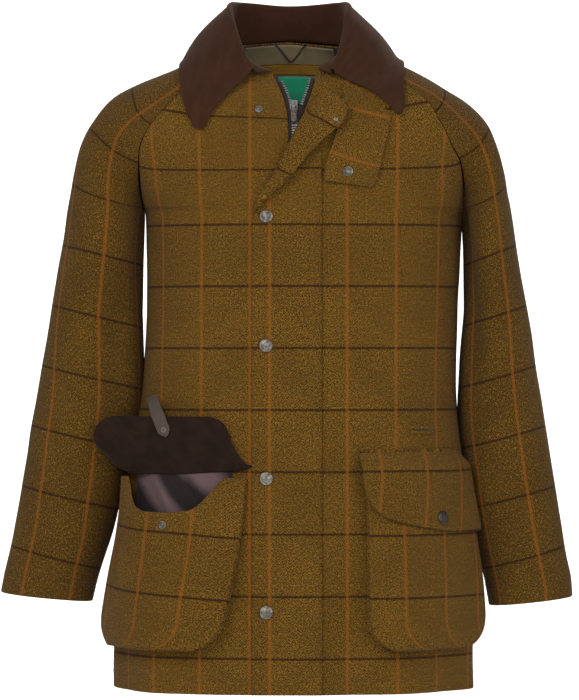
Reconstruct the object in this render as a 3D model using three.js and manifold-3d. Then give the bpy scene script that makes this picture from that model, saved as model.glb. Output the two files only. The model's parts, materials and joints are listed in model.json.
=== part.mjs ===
// A shooting coat of tweed, filled out as it is worn and hollow inside.
// Millimetres, Z up. The front of the coat faces -Y, and the wearer's left side is at +X.
// The origin lies between the shoulders, level with the sides of the neck.
import * as THREE from 'three';
import { mergeVertices } from 'three/addons/utils/BufferGeometryUtils.js';
import Module from 'manifold-3d';

const wasm = await Module();
wasm.setup();

// Driving dimensions
const cloth = 2;            // thickness of the tweed, with its backing
const trim = 1.2;           // thickness of linings, flaps' undersides and tape
const seamGap = 0.3;        // from one cut piece to the next
const lay = 1;              // from a panel to a piece that lies on it
const hemHeight = -749;
const armpitHeight = -186;
const zipX = 5;
const tapeWidth = 4.4;
const squareness = 2.3;     // exponent of the body's rounded sections
const collarRoll = 4.5;     // radius of the fold along the top of the collar
const collarLift = 6;       // from the shoulders to the outer face of the collar's fall
const capRadius = 8;        // snap caps
const capHeight = 3.2;

const vector = (x, y, z) => new THREE.Vector3(x, y, z);
const mix = THREE.MathUtils.lerp;
const smooth = (low, high, value) => THREE.MathUtils.smoothstep(value, low, high);

// Smooth reading of one column of a table whose rows are sorted by the column named in key.
function read(rows, key, column, at) {
  const slope = (i) => {
    const before = rows[Math.max(i - 1, 0)];
    const after = rows[Math.min(i + 1, rows.length - 1)];
    return (after[column] - before[column]) / (after[key] - before[key]);
  };
  const rising = rows[rows.length - 1][key] > rows[0][key];
  let i = 0;
  while (i < rows.length - 2 && (rising ? at > rows[i + 1][key] : at < rows[i + 1][key])) i += 1;
  const [first, second] = [rows[i], rows[i + 1]];
  const step = second[key] - first[key];
  const t = THREE.MathUtils.clamp((at - first[key]) / step, 0, 1);
  const [t2, t3] = [t * t, t * t * t];
  return (2 * t3 - 3 * t2 + 1) * first[column] + (t3 - 2 * t2 + t) * step * slope(i)
    + (3 * t2 - 2 * t3) * second[column] + (t3 - t2) * step * slope(i + 1);
}

// Girth of the body from the armpits to the hem: height, centre, half width, depth to the front
// and depth to the back of each level section.
const girthRows = [
  { z: -186, centre: 17, half: 190, front: 124, back: 116 },
  { z: -290, centre: 16, half: 187, front: 132, back: 120 },
  { z: -405, centre: 11, half: 190, front: 138, back: 126 },
  { z: -500, centre: 7, half: 204, front: 147, back: 137 },
  { z: -600, centre: 6, half: 211, front: 154, back: 146 },
  { z: -700, centre: 4, half: 214, front: 158, back: 151 },
  { z: -749, centre: 4, half: 215, front: 158, back: 152 },
];

// The folds in which the skirt hangs: place along the girth from the zip, width and depth, and
// the height at which each begins. They reach their full depth at the hem.
const drapes = [
  { along: -232, width: 30, depth: -5, from: -300 },
  { along: -165, width: 28, depth: 4, from: -420 },
  { along: 74, width: 20, depth: -4, from: -420 },
  { along: 132, width: 24, depth: 4, from: -380 },
  { along: 205, width: 26, depth: -5, from: -330 },
  { along: 262, width: 24, depth: 5, from: -360 },
  { along: 350, width: 34, depth: -6, from: -260 },
  { along: 430, width: 36, depth: 6, from: -300 },
  { along: 520, width: 34, depth: -6, from: -260 },
  { along: 640, width: 36, depth: 6, from: -300 },
  { along: 730, width: 34, depth: -6, from: -260 },
  { along: 800, width: 30, depth: 4, from: -330 },
];

// One level section of the body, as points with their lengths from the zip, counted towards +X,
// round the back and home again.
const sections = new Map();
const sectionSteps = 288;

function girth(z) {
  const key = z.toFixed(2);
  if (sections.has(key)) return sections.get(key);
  const at = Object.fromEntries(['centre', 'half', 'front', 'back']
    .map((column) => [column, read(girthRows, 'z', column, z)]));
  const rounded = (value) => Math.sign(value) * Math.abs(value) ** (2 / squareness);
  const point = (angle) => vector(
    at.centre + at.half * rounded(Math.sin(angle)),
    -(Math.cos(angle) > 0 ? at.front : at.back) * rounded(Math.cos(angle)),
    z);
  const start = -Math.asin((Math.abs(at.centre) / at.half) ** (squareness / 2)) * Math.sign(at.centre);
  const made = { points: [], lengths: [0] };
  for (let i = 0; i <= sectionSteps; i += 1) {
    made.points.push(point(start + (2 * Math.PI * i) / sectionSteps));
    if (i) made.lengths.push(made.lengths[i - 1] + made.points[i].distanceTo(made.points[i - 1]));
  }
  made.total = made.lengths[sectionSteps];
  made.lengthAt = (angle) => {
    const place = ((angle - start) / (2 * Math.PI)) * sectionSteps;
    const i = Math.floor(place);
    return mix(made.lengths[i], made.lengths[i + 1], place - i);
  };
  made.leftSide = made.lengthAt(Math.PI / 2);
  made.rightSide = made.lengthAt(3 * Math.PI / 2) - made.total;
  sections.set(key, made);
  return made;
}

// A point of the plain section at a length from the zip, before any fold.
function plainAround(z, along) {
  const { points, lengths, total } = girth(z);
  const wanted = ((along % total) + total) % total;
  let low = 0;
  let high = sectionSteps;
  while (high - low > 1) {
    const middle = (low + high) >> 1;
    if (lengths[middle] > wanted) high = middle;
    else low = middle;
  }
  const part = (wanted - lengths[low]) / (lengths[high] - lengths[low]);
  return points[low].clone().lerp(points[high], part);
}

// The outer face of the body at a height and a length from the zip, moved out by an offset.
function around(z, along, offset = 0) {
  const { total } = girth(z);
  const ahead = plainAround(z, along + 3);
  const behind = plainAround(z, along - 3);
  const outward = vector(ahead.y - behind.y, behind.x - ahead.x, 0).normalize();
  let fold = 0;
  for (const drape of drapes) {
    const away = THREE.MathUtils.euclideanModulo(along - drape.along + total / 2, total) - total / 2;
    fold += drape.depth * Math.exp(-((away / drape.width) ** 2)) * (1 - smooth(hemHeight, drape.from, z));
  }
  return plainAround(z, along).addScaledVector(outward, fold + offset);
}

// Raglan rows of each side, from the neckline down to the armpit: the ridge of the shoulder and
// arm, the seam between body and sleeve (its depth in front and behind), how much higher the
// seam runs behind, and how far the sleeve has turned into a closed tube.
const raglan = {
  right: [
    { ridgeX: -80, ridgeZ: 18, seamX: -63, seamZ: 4, ahead: 38, behind: 44, rise: 18, closed: 0 },
    { ridgeX: -108, ridgeZ: 5, seamX: -97, seamZ: -12, ahead: 58, behind: 62, rise: 18, closed: 0 },
    { ridgeX: -141, ridgeZ: -11, seamX: -128, seamZ: -34, ahead: 76, behind: 78, rise: 16, closed: 0 },
    { ridgeX: -178, ridgeZ: -26, seamX: -152, seamZ: -57, ahead: 86, behind: 88, rise: 14, closed: 0 },
    { ridgeX: -211, ridgeZ: -44, seamX: -168, seamZ: -78, ahead: 87, behind: 88, rise: 11, closed: 0 },
    { ridgeX: -235, ridgeZ: -71, seamX: -177, seamZ: -98, ahead: 79, behind: 80, rise: 8, closed: 0.15 },
    { ridgeX: -250, ridgeZ: -99, seamX: -179, seamZ: -125, ahead: 63, behind: 64, rise: 4, closed: 0.4 },
    { ridgeX: -258, ridgeZ: -132, seamX: -178, seamZ: -154, ahead: 43, behind: 43, rise: 2, closed: 0.7 },
    { ridgeX: -263, ridgeZ: -158, seamX: -175, seamZ: -174, ahead: 24, behind: 24, rise: 0, closed: 0.9 },
    { ridgeX: -267, ridgeZ: -180, seamX: -173, seamZ: -186, ahead: 0, behind: 0, rise: 0, closed: 1 },
  ],
  left: [
    { ridgeX: 80, ridgeZ: 18, seamX: 63, seamZ: 4, ahead: 38, behind: 44, rise: 18, closed: 0 },
    { ridgeX: 110, ridgeZ: 5, seamX: 100, seamZ: -8, ahead: 58, behind: 62, rise: 16, closed: 0 },
    { ridgeX: 145, ridgeZ: -12, seamX: 137, seamZ: -24, ahead: 76, behind: 78, rise: 10, closed: 0 },
    { ridgeX: 183, ridgeZ: -33, seamX: 163, seamZ: -45, ahead: 86, behind: 88, rise: 8, closed: 0 },
    { ridgeX: 213, ridgeZ: -51, seamX: 181, seamZ: -73, ahead: 87, behind: 88, rise: 8, closed: 0 },
    { ridgeX: 236, ridgeZ: -74, seamX: 193, seamZ: -98, ahead: 79, behind: 80, rise: 7, closed: 0.15 },
    { ridgeX: 249, ridgeZ: -101, seamX: 203, seamZ: -120, ahead: 63, behind: 64, rise: 3, closed: 0.4 },
    { ridgeX: 258, ridgeZ: -133, seamX: 207.5, seamZ: -152, ahead: 43, behind: 43, rise: 2, closed: 0.7 },
    { ridgeX: 262, ridgeZ: -158, seamX: 207.7, seamZ: -174, ahead: 24, behind: 24, rise: 0, closed: 0.9 },
    { ridgeX: 266, ridgeZ: -178, seamX: 207.5, seamZ: -186, ahead: 0, behind: 0, rise: 0, closed: 1 },
  ],
};

// The body's own rows that meet the raglan rows: height and depth of the middle of the front
// and of the middle of the back.
const chestRows = [
  { frontZ: -20, frontDepth: 66, backZ: 28, backDepth: 62 },
  { frontZ: -35, frontDepth: 78, backZ: 10, backDepth: 75 },
  { frontZ: -52, frontDepth: 89, backZ: -11, backDepth: 87 },
  { frontZ: -69, frontDepth: 99, backZ: -35, backDepth: 97 },
  { frontZ: -88, frontDepth: 107, backZ: -60, backDepth: 104 },
  { frontZ: -107, frontDepth: 112, backZ: -86, backDepth: 109 },
  { frontZ: -129, frontDepth: 117, backZ: -114, backDepth: 112 },
  { frontZ: -152, frontDepth: 121, backZ: -145, backDepth: 114 },
  { frontZ: -171, frontDepth: 123, backZ: -168, backDepth: 115 },
  { frontZ: -186, frontDepth: 124, backZ: -186, backDepth: 116 },
];
const upperRows = chestRows.length - 1;

// Sleeves below the armpit: outer edge, inner edge, and depth from the middle to the front and
// back of each section.
const sleeveRows = {
  right: [
    { outerX: -267, outerZ: -180, innerX: -173, innerZ: -186, depth: 76 },
    { outerX: -272, outerZ: -217, innerX: -174.5, innerZ: -226, depth: 75 },
    { outerX: -279, outerZ: -256, innerX: -175.5, innerZ: -266, depth: 73 },
    { outerX: -286, outerZ: -294, innerX: -176, innerZ: -306, depth: 71 },
    { outerX: -292, outerZ: -330, innerX: -178.5, innerZ: -343, depth: 70 },
    { outerX: -298, outerZ: -365, innerX: -181, innerZ: -379, depth: 69 },
    { outerX: -304, outerZ: -402, innerX: -186, innerZ: -416, depth: 68 },
    { outerX: -310.5, outerZ: -439, innerX: -193, innerZ: -453, depth: 66 },
    { outerX: -316, outerZ: -474, innerX: -199, innerZ: -488, depth: 64 },
    { outerX: -322, outerZ: -509, innerX: -206, innerZ: -523, depth: 62 },
    { outerX: -328.5, outerZ: -546, innerX: -213, innerZ: -560, depth: 59 },
    { outerX: -335, outerZ: -582, innerX: -223, innerZ: -596, depth: 57 },
    { outerX: -341.5, outerZ: -612, innerX: -231, innerZ: -624, depth: 55 },
    { outerX: -346, outerZ: -636, innerX: -237, innerZ: -647, depth: 54 },
  ],
  left: [
    { outerX: 266, outerZ: -178, innerX: 207.5, innerZ: -186, depth: 84 },
    { outerX: 272, outerZ: -217, innerX: 208.5, innerZ: -226, depth: 84 },
    { outerX: 278.5, outerZ: -256, innerX: 208.5, innerZ: -266, depth: 82 },
    { outerX: 285, outerZ: -294, innerX: 208, innerZ: -304, depth: 80 },
    { outerX: 291, outerZ: -330, innerX: 206.5, innerZ: -341, depth: 77 },
    { outerX: 296, outerZ: -367, innerX: 206, innerZ: -379, depth: 74 },
    { outerX: 302.5, outerZ: -405, innerX: 206.5, innerZ: -418, depth: 71 },
    { outerX: 309, outerZ: -443, innerX: 209, innerZ: -456, depth: 68 },
    { outerX: 315, outerZ: -480, innerX: 213, innerZ: -493, depth: 65 },
    { outerX: 321, outerZ: -518, innerX: 218, innerZ: -531, depth: 62 },
    { outerX: 326.5, outerZ: -554, innerX: 224, innerZ: -567, depth: 59 },
    { outerX: 332, outerZ: -590, innerX: 231, innerZ: -603, depth: 57 },
    { outerX: 338, outerZ: -618, innerX: 236, innerZ: -630, depth: 55 },
    { outerX: 340.5, outerZ: -641, innerX: 240, innerZ: -652, depth: 54 },
  ],
};

// Folds of the sleeves, pressed into each half: how far down the sleeve (row) and round from the
// ridge (0) to the underarm (1), their reach along and across, and their depth.
const creases = {
  sleeve_right_front: [
    { row: 13.2, across: 0.66, long: 2.6, wide: 0.1, depth: -7 },
    { row: 10.2, across: 0.85, long: 1.3, wide: 0.12, depth: -6 },
    { row: 15.6, across: 0.35, long: 0.8, wide: 0.25, depth: -4 },
    { row: 17, across: 0.7, long: 0.7, wide: 0.22, depth: -4 },
  ],
  sleeve_right_back: [
    { row: 14, across: 0.5, long: 0.8, wide: 0.3, depth: -5 },
    { row: 16, across: 0.65, long: 0.8, wide: 0.25, depth: -5 },
  ],
  sleeve_left_front: [
    { row: 12.5, across: 0.7, long: 2.4, wide: 0.1, depth: -6 },
    { row: 10, across: 0.85, long: 1.3, wide: 0.12, depth: -6 },
    { row: 15.3, across: 0.4, long: 0.8, wide: 0.25, depth: -4 },
    { row: 17.2, across: 0.65, long: 0.7, wide: 0.22, depth: -4 },
  ],
  sleeve_left_back: [
    { row: 14.2, across: 0.5, long: 0.8, wide: 0.3, depth: -5 },
    { row: 16.4, across: 0.65, long: 0.8, wide: 0.25, depth: -5 },
  ],
};

// A curve from one point to another with a handle at each end.
const arc = (start, startHandle, end, endHandle) => new THREE.CubicBezierCurve3(
  start, start.clone().add(startHandle), end.clone().add(endHandle), end);

// What one raglan row gives: the curves of the front, the back and both halves of the sleeve.
function raglanRow(side, i) {
  const row = raglan[side][i];
  const chest = chestRows[i];
  const ridge = vector(row.ridgeX, 0, row.ridgeZ);
  const make = (facing) => {
    const inFront = facing < 0;
    const middle = inFront
      ? vector(0, -chest.frontDepth, chest.frontZ)
      : vector(girthRows[0].centre * (i / upperRows), chest.backDepth, chest.backZ);
    const seam = vector(
      row.seamX,
      facing * (inFront ? row.ahead : row.behind),
      row.seamZ + (inFront ? 0 : row.rise));
    const along = ridge.clone().sub(middle).normalize();
    const onBody = along.clone().lerp(vector(0, -facing, 0), row.closed).normalize();
    const onSleeve = along.clone().lerp(vector(0, facing, 0), row.closed).normalize();
    const reach = seam.distanceTo(middle);
    const depth = sleeveRows[side][0].depth;
    const body = arc(
      middle,
      vector(0.55 * (seam.x - middle.x), 0, 0.3 * (seam.z - middle.z)),
      seam,
      onBody.multiplyScalar(-0.35 * reach));
    const sleeve = arc(
      ridge,
      vector(0, facing * mix(0.55 * Math.abs(seam.y), (4 / 3) * depth, row.closed), 0),
      seam,
      onSleeve.multiplyScalar(mix(
        0.35 * seam.distanceTo(ridge), (4 / 3) * depth - Math.abs(seam.y), row.closed)));
    return { body, sleeve };
  };
  const [front, back] = [make(-1), make(1)];
  return { front: front.body, back: back.body, sleeveFront: front.sleeve, sleeveBack: back.sleeve };
}

// Heights of the body's rows below the armpits.
const lowerRows = 13;
const lowerHeights = Array.from({ length: lowerRows + 1 },
  (_, i) => mix(armpitHeight, hemHeight, i / lowerRows));

// Every row of a panel is a function from 0 to 1 that gives a point.
const rowsOfCurve = (name, side) => raglan[side]
  .slice(0, upperRows)
  .map((_, i) => raglanRow(side, i)[name])
  .map((curve) => (u) => curve.getPointAt(THREE.MathUtils.clamp(u, 0, 1)));

const bodyRows = {
  right: [
    ...rowsOfCurve('front', 'right'),
    ...lowerHeights.map((z) => (u) => around(z, girth(z).rightSide * u)),
  ],
  left: [
    ...rowsOfCurve('front', 'left'),
    ...lowerHeights.map((z) => (u) => around(z, girth(z).leftSide * u)),
  ],
};

const backRows = [
  ...raglan.right.slice(0, upperRows).map((_, i) => {
    const whole = new THREE.CurvePath();
    const half = raglanRow('right', i).back;
    whole.add(raglanRow('left', i).back.clone());
    whole.curves[0] = arcTurned(whole.curves[0]);
    whole.add(half);
    return (u) => whole.getPointAt(THREE.MathUtils.clamp(u, 0, 1));
  }),
  ...lowerHeights.map((z) => (u) => {
    const { leftSide, rightSide, total } = girth(z);
    return around(z, mix(leftSide, rightSide + total, u));
  }),
];

function arcTurned(curve) {
  return new THREE.CubicBezierCurve3(curve.v3, curve.v2, curve.v1, curve.v0);
}

// Rows of one half of a sleeve, from the ridge (0) to its other seam (1).
function sleeveHalf(side, facing) {
  const name = `sleeve_${side}_${facing < 0 ? 'front' : 'back'}`;
  const open = rowsOfCurve(facing < 0 ? 'sleeveFront' : 'sleeveBack', side);
  const closed = sleeveRows[side].map((row) => {
    const handle = vector(0, facing * (4 / 3) * row.depth, 0);
    const curve = arc(
      vector(row.outerX, 0, row.outerZ), handle, vector(row.innerX, 0, row.innerZ), handle);
    return (u) => curve.getPointAt(THREE.MathUtils.clamp(u, 0, 1));
  });
  return [...open, ...closed].map((row, i) => (u) => {
    const point = row(u);
    const ahead = row(Math.min(u + 0.01, 1)).sub(row(Math.max(u - 0.01, 0)));
    const outward = vector(0, facing, 0).cross(ahead).cross(ahead).normalize();
    if (outward.y * facing < 0) outward.negate();
    let fold = 0;
    for (const crease of creases[name]) {
      const down = (i - crease.row) / crease.long;
      const across = (u - crease.across) / crease.wide;
      fold += crease.depth * Math.exp(-down * down - across * across);
    }
    return point.addScaledVector(outward, fold * smooth(0, 0.15, u) * smooth(0, 0.15, 1 - u));
  });
}

// Points, outward normals and their grid for a panel whose rows are sampled from start to end.
// Both may differ from row to row.
function panel(rows, columns, start, end) {
  const points = [];
  const across = [];
  rows.forEach((row, i) => {
    points.push([]);
    across.push([]);
    const length = row(0.5).distanceTo(row(0)) + row(1).distanceTo(row(0.5));
    const first = start(i, row, length);
    const last = end(i, row, length);
    for (let j = 0; j <= columns; j += 1) {
      const u = mix(first, last, j / columns);
      points[i].push(row(u));
      across[i].push(row(Math.min(u + 0.003, 1)).sub(row(Math.max(u - 0.003, 0))));
    }
  });
  const normals = points.map((line, i) => line.map((_, j) => {
    const above = points[Math.max(i - 1, 0)][j];
    const below = points[Math.min(i + 1, points.length - 1)][j];
    return across[i][j].clone().cross(below.clone().sub(above)).normalize();
  }));
  return { points, normals };
}

const half = seamGap / 2;
const afterSeam = (i, row, length) => half / length;
const beforeSeam = (i, row, length) => 1 - half / length;

function gridNormals(points) {
  return points.map((line, i) => line.map((_, j) => {
    const right = line[Math.min(j + 1, line.length - 1)];
    const left = line[Math.max(j - 1, 0)];
    const below = points[Math.min(i + 1, points.length - 1)][j];
    const above = points[Math.max(i - 1, 0)][j];
    return right.clone().sub(left).cross(below.clone().sub(above)).normalize();
  }));
}

// A closed wall: the grid is its outer face, and its inner face lies a thickness further
// towards a point inside.
function wall(name, material, { points, normals = gridNormals(points) }, thickness, towards) {
  const [rows, columns] = [points.length, points[0].length];
  const [i, j] = [rows >> 1, columns >> 1];
  const side = Math.sign(normals[i][j].dot(towards.clone().sub(points[i][j])));
  const inner = points.map((line, a) => line.map(
    (point, b) => point.clone().addScaledVector(normals[a][b], side * thickness)));
  const vertices = [...points.flat(), ...inner.flat()].flatMap((point) => point.toArray());
  const at = (a, b, face) => face * rows * columns + a * columns + b;
  const triangles = [];
  const quad = (p, q, r, s) => triangles.push(p, q, r, p, r, s);
  for (let a = 0; a < rows - 1; a += 1) {
    for (let b = 0; b < columns - 1; b += 1) {
      quad(at(a, b, 0), at(a + 1, b, 0), at(a + 1, b + 1, 0), at(a, b + 1, 0));
      quad(at(a + 1, b + 1, 1), at(a + 1, b, 1), at(a, b, 1), at(a, b + 1, 1));
    }
  }
  for (let a = 0; a < rows - 1; a += 1) {
    quad(at(a, 0, 1), at(a + 1, 0, 1), at(a + 1, 0, 0), at(a, 0, 0));
    quad(at(a, columns - 1, 0), at(a + 1, columns - 1, 0), at(a + 1, columns - 1, 1), at(a, columns - 1, 1));
  }
  for (let b = 0; b < columns - 1; b += 1) {
    quad(at(0, b, 1), at(0, b, 0), at(0, b + 1, 0), at(0, b + 1, 1));
    quad(at(rows - 1, b, 0), at(rows - 1, b, 1), at(rows - 1, b + 1, 1), at(rows - 1, b + 1, 0));
  }
  return meshOf(name, material, faceOut(vertices, triangles));
}

// A geometry whose faces point outwards, whichever way its grid ran.
function faceOut(vertices, triangles) {
  const corner = (i) => vector(...vertices.slice(3 * i, 3 * i + 3));
  let volume = 0;
  for (let i = 0; i < triangles.length; i += 3) {
    volume += corner(triangles[i]).dot(corner(triangles[i + 1]).cross(corner(triangles[i + 2])));
  }
  const faces = volume > 0 ? triangles : triangles.slice().reverse();
  const geometry = new THREE.BufferGeometry();
  geometry.setAttribute('position', new THREE.Float32BufferAttribute(vertices, 3));
  geometry.setIndex(faces);
  geometry.computeVertexNormals();
  return geometry;
}

const materials = {
  tweed: new THREE.MeshStandardMaterial({ color: 0x625030, roughness: 0.95 }),
  moleskin: new THREE.MeshStandardMaterial({ color: 0x3c261c, roughness: 0.9 }),
  satin: new THREE.MeshStandardMaterial({ color: 0x645050, roughness: 0.5 }),
  khaki: new THREE.MeshStandardMaterial({ color: 0x5f553c, roughness: 0.7 }),
  label: new THREE.MeshStandardMaterial({ color: 0x146e50, roughness: 0.6 }),
  tape: new THREE.MeshStandardMaterial({ color: 0x3a2f24, roughness: 0.8 }),
  metal: new THREE.MeshStandardMaterial({ color: 0x9a9484, roughness: 0.35, metalness: 1 }),
};

const coat = new THREE.Group();

function meshOf(name, material, geometry) {
  const mesh = new THREE.Mesh(geometry, material);
  mesh.name = name;
  coat.add(mesh);
  return mesh;
}

const bodyMiddle = vector(8, 0, -420);

// Where the free edge of each front lies beside the zip: it spreads above the slider.
const zipEdges = [
  { z: -20, right: -19, left: 32 },
  { z: -34, right: -10, left: 27 },
  { z: -52, right: -4, left: 20 },
  { z: -76, right: -0.8, left: 11.5 },
  { z: -96, right: -0.8, left: 10.8 },
  { z: hemHeight, right: -0.8, left: 10.8 },
];

// The place on a row where it crosses a given X.
function crossing(row, x) {
  let [low, high] = [0, 0.5];
  const away = Math.sign(row(0.5).x);
  if (away * x < 0) return 0;
  for (let i = 0; i < 30; i += 1) {
    const middle = (low + high) / 2;
    if (away * row(middle).x < away * x) low = middle;
    else high = middle;
  }
  return low;
}

// The edge of a front at a height; above the top row of the table it stays as it is there.
const edgeOf = (side, z) => read(zipEdges, 'z', side, Math.min(z, zipEdges[0].z));

const frontColumns = 11;
const fronts = {};
for (const side of ['right', 'left']) {
  const grid = panel(
    bodyRows[side], frontColumns,
    (i, row) => crossing(row, edgeOf(side, row(0).z)), beforeSeam);
  fronts[side] = grid;
  wall(`front_${side}`, materials.tweed, grid, cloth, bodyMiddle);
}

const backColumns = 22;
const backGrid = panel(backRows, backColumns, afterSeam, beforeSeam);
wall('back', materials.tweed, backGrid, cloth, bodyMiddle);

const sleeveColumns = 8;
const sleeves = {};
for (const side of ['right', 'left']) {
  for (const facing of [-1, 1]) {
    const name = `sleeve_${side}_${facing < 0 ? 'front' : 'back'}`;
    const rows = sleeveHalf(side, facing);
    sleeves[name] = panel(rows, sleeveColumns, afterSeam, beforeSeam);
    const middle = rows[14](0).add(rows[14](1)).multiplyScalar(0.5);
    wall(name, materials.tweed, sleeves[name], cloth, middle);
  }
}

// The front of the body and sleeves as a skin that anything lying on the front is laid upon.
const skinColumns = 24;
const skin = [
  panel(bodyRows.right, skinColumns, () => 0, () => 1),
  panel(bodyRows.left, skinColumns, () => 0, () => 1),
  sleeves.sleeve_right_front,
  sleeves.sleeve_left_front,
].flatMap(({ points, normals }) => {
  const cells = [];
  for (let i = 0; i < points.length - 1; i += 1) {
    for (let j = 0; j < points[i].length - 1; j += 1) {
      const corners = [[i, j], [i + 1, j], [i + 1, j + 1], [i, j + 1]];
      for (const order of [[0, 1, 2], [0, 2, 3]]) {
        const picked = order.map((k) => corners[k]);
        cells.push({
          triangle: new THREE.Triangle(...picked.map(([a, b]) => points[a][b])),
          normals: picked.map(([a, b]) => normals[a][b]),
        });
      }
    }
  }
  return cells;
});

// The point of the skin seen at a place from the front, moved out by an offset.
function onFront(x, z, offset = 0) {
  const flat = (p) => vector(p.x, 0, p.z);
  let best = null;
  for (const { triangle, normals } of skin) {
    const reach = Math.max(
      Math.abs(triangle.a.x - x), Math.abs(triangle.a.z - z));
    if (reach > 90) continue;
    const seen = new THREE.Triangle(flat(triangle.a), flat(triangle.b), flat(triangle.c));
    if (seen.getArea() < 0.01) continue;
    const parts = seen.getBarycoord(vector(x, 0, z), vector(0, 0, 0));
    if (!parts || Math.min(parts.x, parts.y, parts.z) < -1e-4) continue;
    const point = vector(0, 0, 0);
    const outward = vector(0, 0, 0);
    [triangle.a, triangle.b, triangle.c].forEach((corner, k) => {
      point.addScaledVector(corner, parts.getComponent(k));
      outward.addScaledVector(normals[k], parts.getComponent(k));
    });
    if (outward.y > 0) outward.negate();
    if (!best || point.y < best.point.y) best = { point, outward: outward.normalize() };
  }
  if (!best) throw new Error(`nothing of the front at ${x}, ${z}`);
  best.point.addScaledVector(best.outward, offset);
  return best;
}

// Moves a point out of the skin and of the back until it is at least a gap away.
const shells = [
  ...skin,
  ...[backGrid, sleeves.sleeve_right_back, sleeves.sleeve_left_back].flatMap(({ points }) => {
    const cells = [];
    for (let i = 0; i < Math.min(points.length, upperRows + 3) - 1; i += 1) {
      for (let j = 0; j < points[i].length - 1; j += 1) {
        cells.push(
          { triangle: new THREE.Triangle(points[i][j], points[i + 1][j], points[i + 1][j + 1]) },
          { triangle: new THREE.Triangle(points[i][j], points[i + 1][j + 1], points[i][j + 1]) });
      }
    }
    return cells;
  }),
];

function clearOf(point, gap) {
  const moved = point.clone();
  for (let pass = 0; pass < 3; pass += 1) {
    let nearest = null;
    for (const { triangle } of shells) {
      if (triangle.a.distanceTo(moved) > 90) continue;
      const foot = triangle.closestPointToPoint(moved, vector(0, 0, 0));
      const away = foot.distanceTo(moved);
      if (!nearest || away < nearest.away) nearest = { away, foot, triangle };
    }
    if (!nearest) return moved;
    const outward = nearest.triangle.getNormal(vector(0, 0, 0));
    if (outward.dot(nearest.foot.clone().sub(bodyCore(nearest.foot))) < 0) outward.negate();
    const signed = outward.dot(moved.clone().sub(nearest.foot));
    if (signed >= gap) return moved;
    moved.addScaledVector(outward, gap - signed);
  }
  return moved;
}

// A point well inside the body or shoulder under any place of the shell.
function bodyCore(point) {
  const reach = THREE.MathUtils.clamp(point.x, -200, 200);
  return vector(reach * 0.8, 0, Math.min(point.z - 30, -60 - 0.2 * Math.abs(reach)));
}

// Collar: one folded wall, from the neckline up its stand, over the roll and down its fall.
// Each row names a place along the neckline (0 at the right front, 1 at the left front), the
// top of the roll there and the outer edge of the fall.
const collarRows = [
  { at: 0, rollX: -43, rollY: -76, rollZ: -7, edgeX: -101, edgeY: -106, edgeZ: -80 },
  { at: 0.06, rollX: -54, rollY: -68, rollZ: 10, edgeX: -112, edgeY: -104, edgeZ: -78 },
  { at: 0.12, rollX: -64, rollY: -52, rollZ: 33, edgeX: -122, edgeY: -94, edgeZ: -58 },
  { at: 0.18, rollX: -70, rollY: -28, rollZ: 57, edgeX: -128, edgeY: -66, edgeZ: -30 },
  { at: 0.25, rollX: -71, rollY: 2, rollZ: 71, edgeX: -129, edgeY: -10, edgeZ: 0 },
  { at: 0.35, rollX: -57, rollY: 37, rollZ: 74, edgeX: -106, edgeY: 66, edgeZ: 0 },
  { at: 0.5, rollX: 0, rollY: 54, rollZ: 71, edgeX: 0, edgeY: 92, edgeZ: -8 },
  { at: 0.65, rollX: 57, rollY: 37, rollZ: 74, edgeX: 108, edgeY: 66, edgeZ: 0 },
  { at: 0.75, rollX: 70, rollY: 2, rollZ: 71, edgeX: 131, edgeY: -10, edgeZ: 0 },
  { at: 0.82, rollX: 69, rollY: -28, rollZ: 57, edgeX: 133, edgeY: -64, edgeZ: -28 },
  { at: 0.88, rollX: 66, rollY: -50, rollZ: 33, edgeX: 133, edgeY: -86, edgeZ: -50 },
  { at: 0.94, rollX: 60, rollY: -66, rollZ: 12, edgeX: 131, edgeY: -92, edgeZ: -62 },
  { at: 1, rollX: 50, rollY: -76, rollZ: -7, edgeX: 126, edgeY: -96, edgeZ: -65 },
];
const collarColumns = 32;
const standSteps = 3;
const fallSteps = 5;

// The neckline from the right front, round the back, to the left front.
const sewnNeck = [];
{
  const stretch = (row, first, last) => {
    for (let k = 0; k < 12; k += 1) sewnNeck.push(row(mix(first, last, k / 12)));
  };
  const firstRow = (side, facing) => sleeveHalf(side, facing)[0];
  stretch(bodyRows.right[0], crossing(bodyRows.right[0], zipEdges[0].right), 1);
  stretch(firstRow('right', -1), 1, 0);
  stretch(firstRow('right', 1), 0, 1);
  stretch(backRows[0], 1, 0);
  stretch(firstRow('left', 1), 1, 0);
  stretch(firstRow('left', -1), 0, 1);
  stretch(bodyRows.left[0], 1, crossing(bodyRows.left[0], zipEdges[0].left));
  sewnNeck.push(bodyRows.left[0](crossing(bodyRows.left[0], zipEdges[0].left)));
}
const neckline = new THREE.CatmullRomCurve3(sewnNeck, false, 'centripetal');

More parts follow.
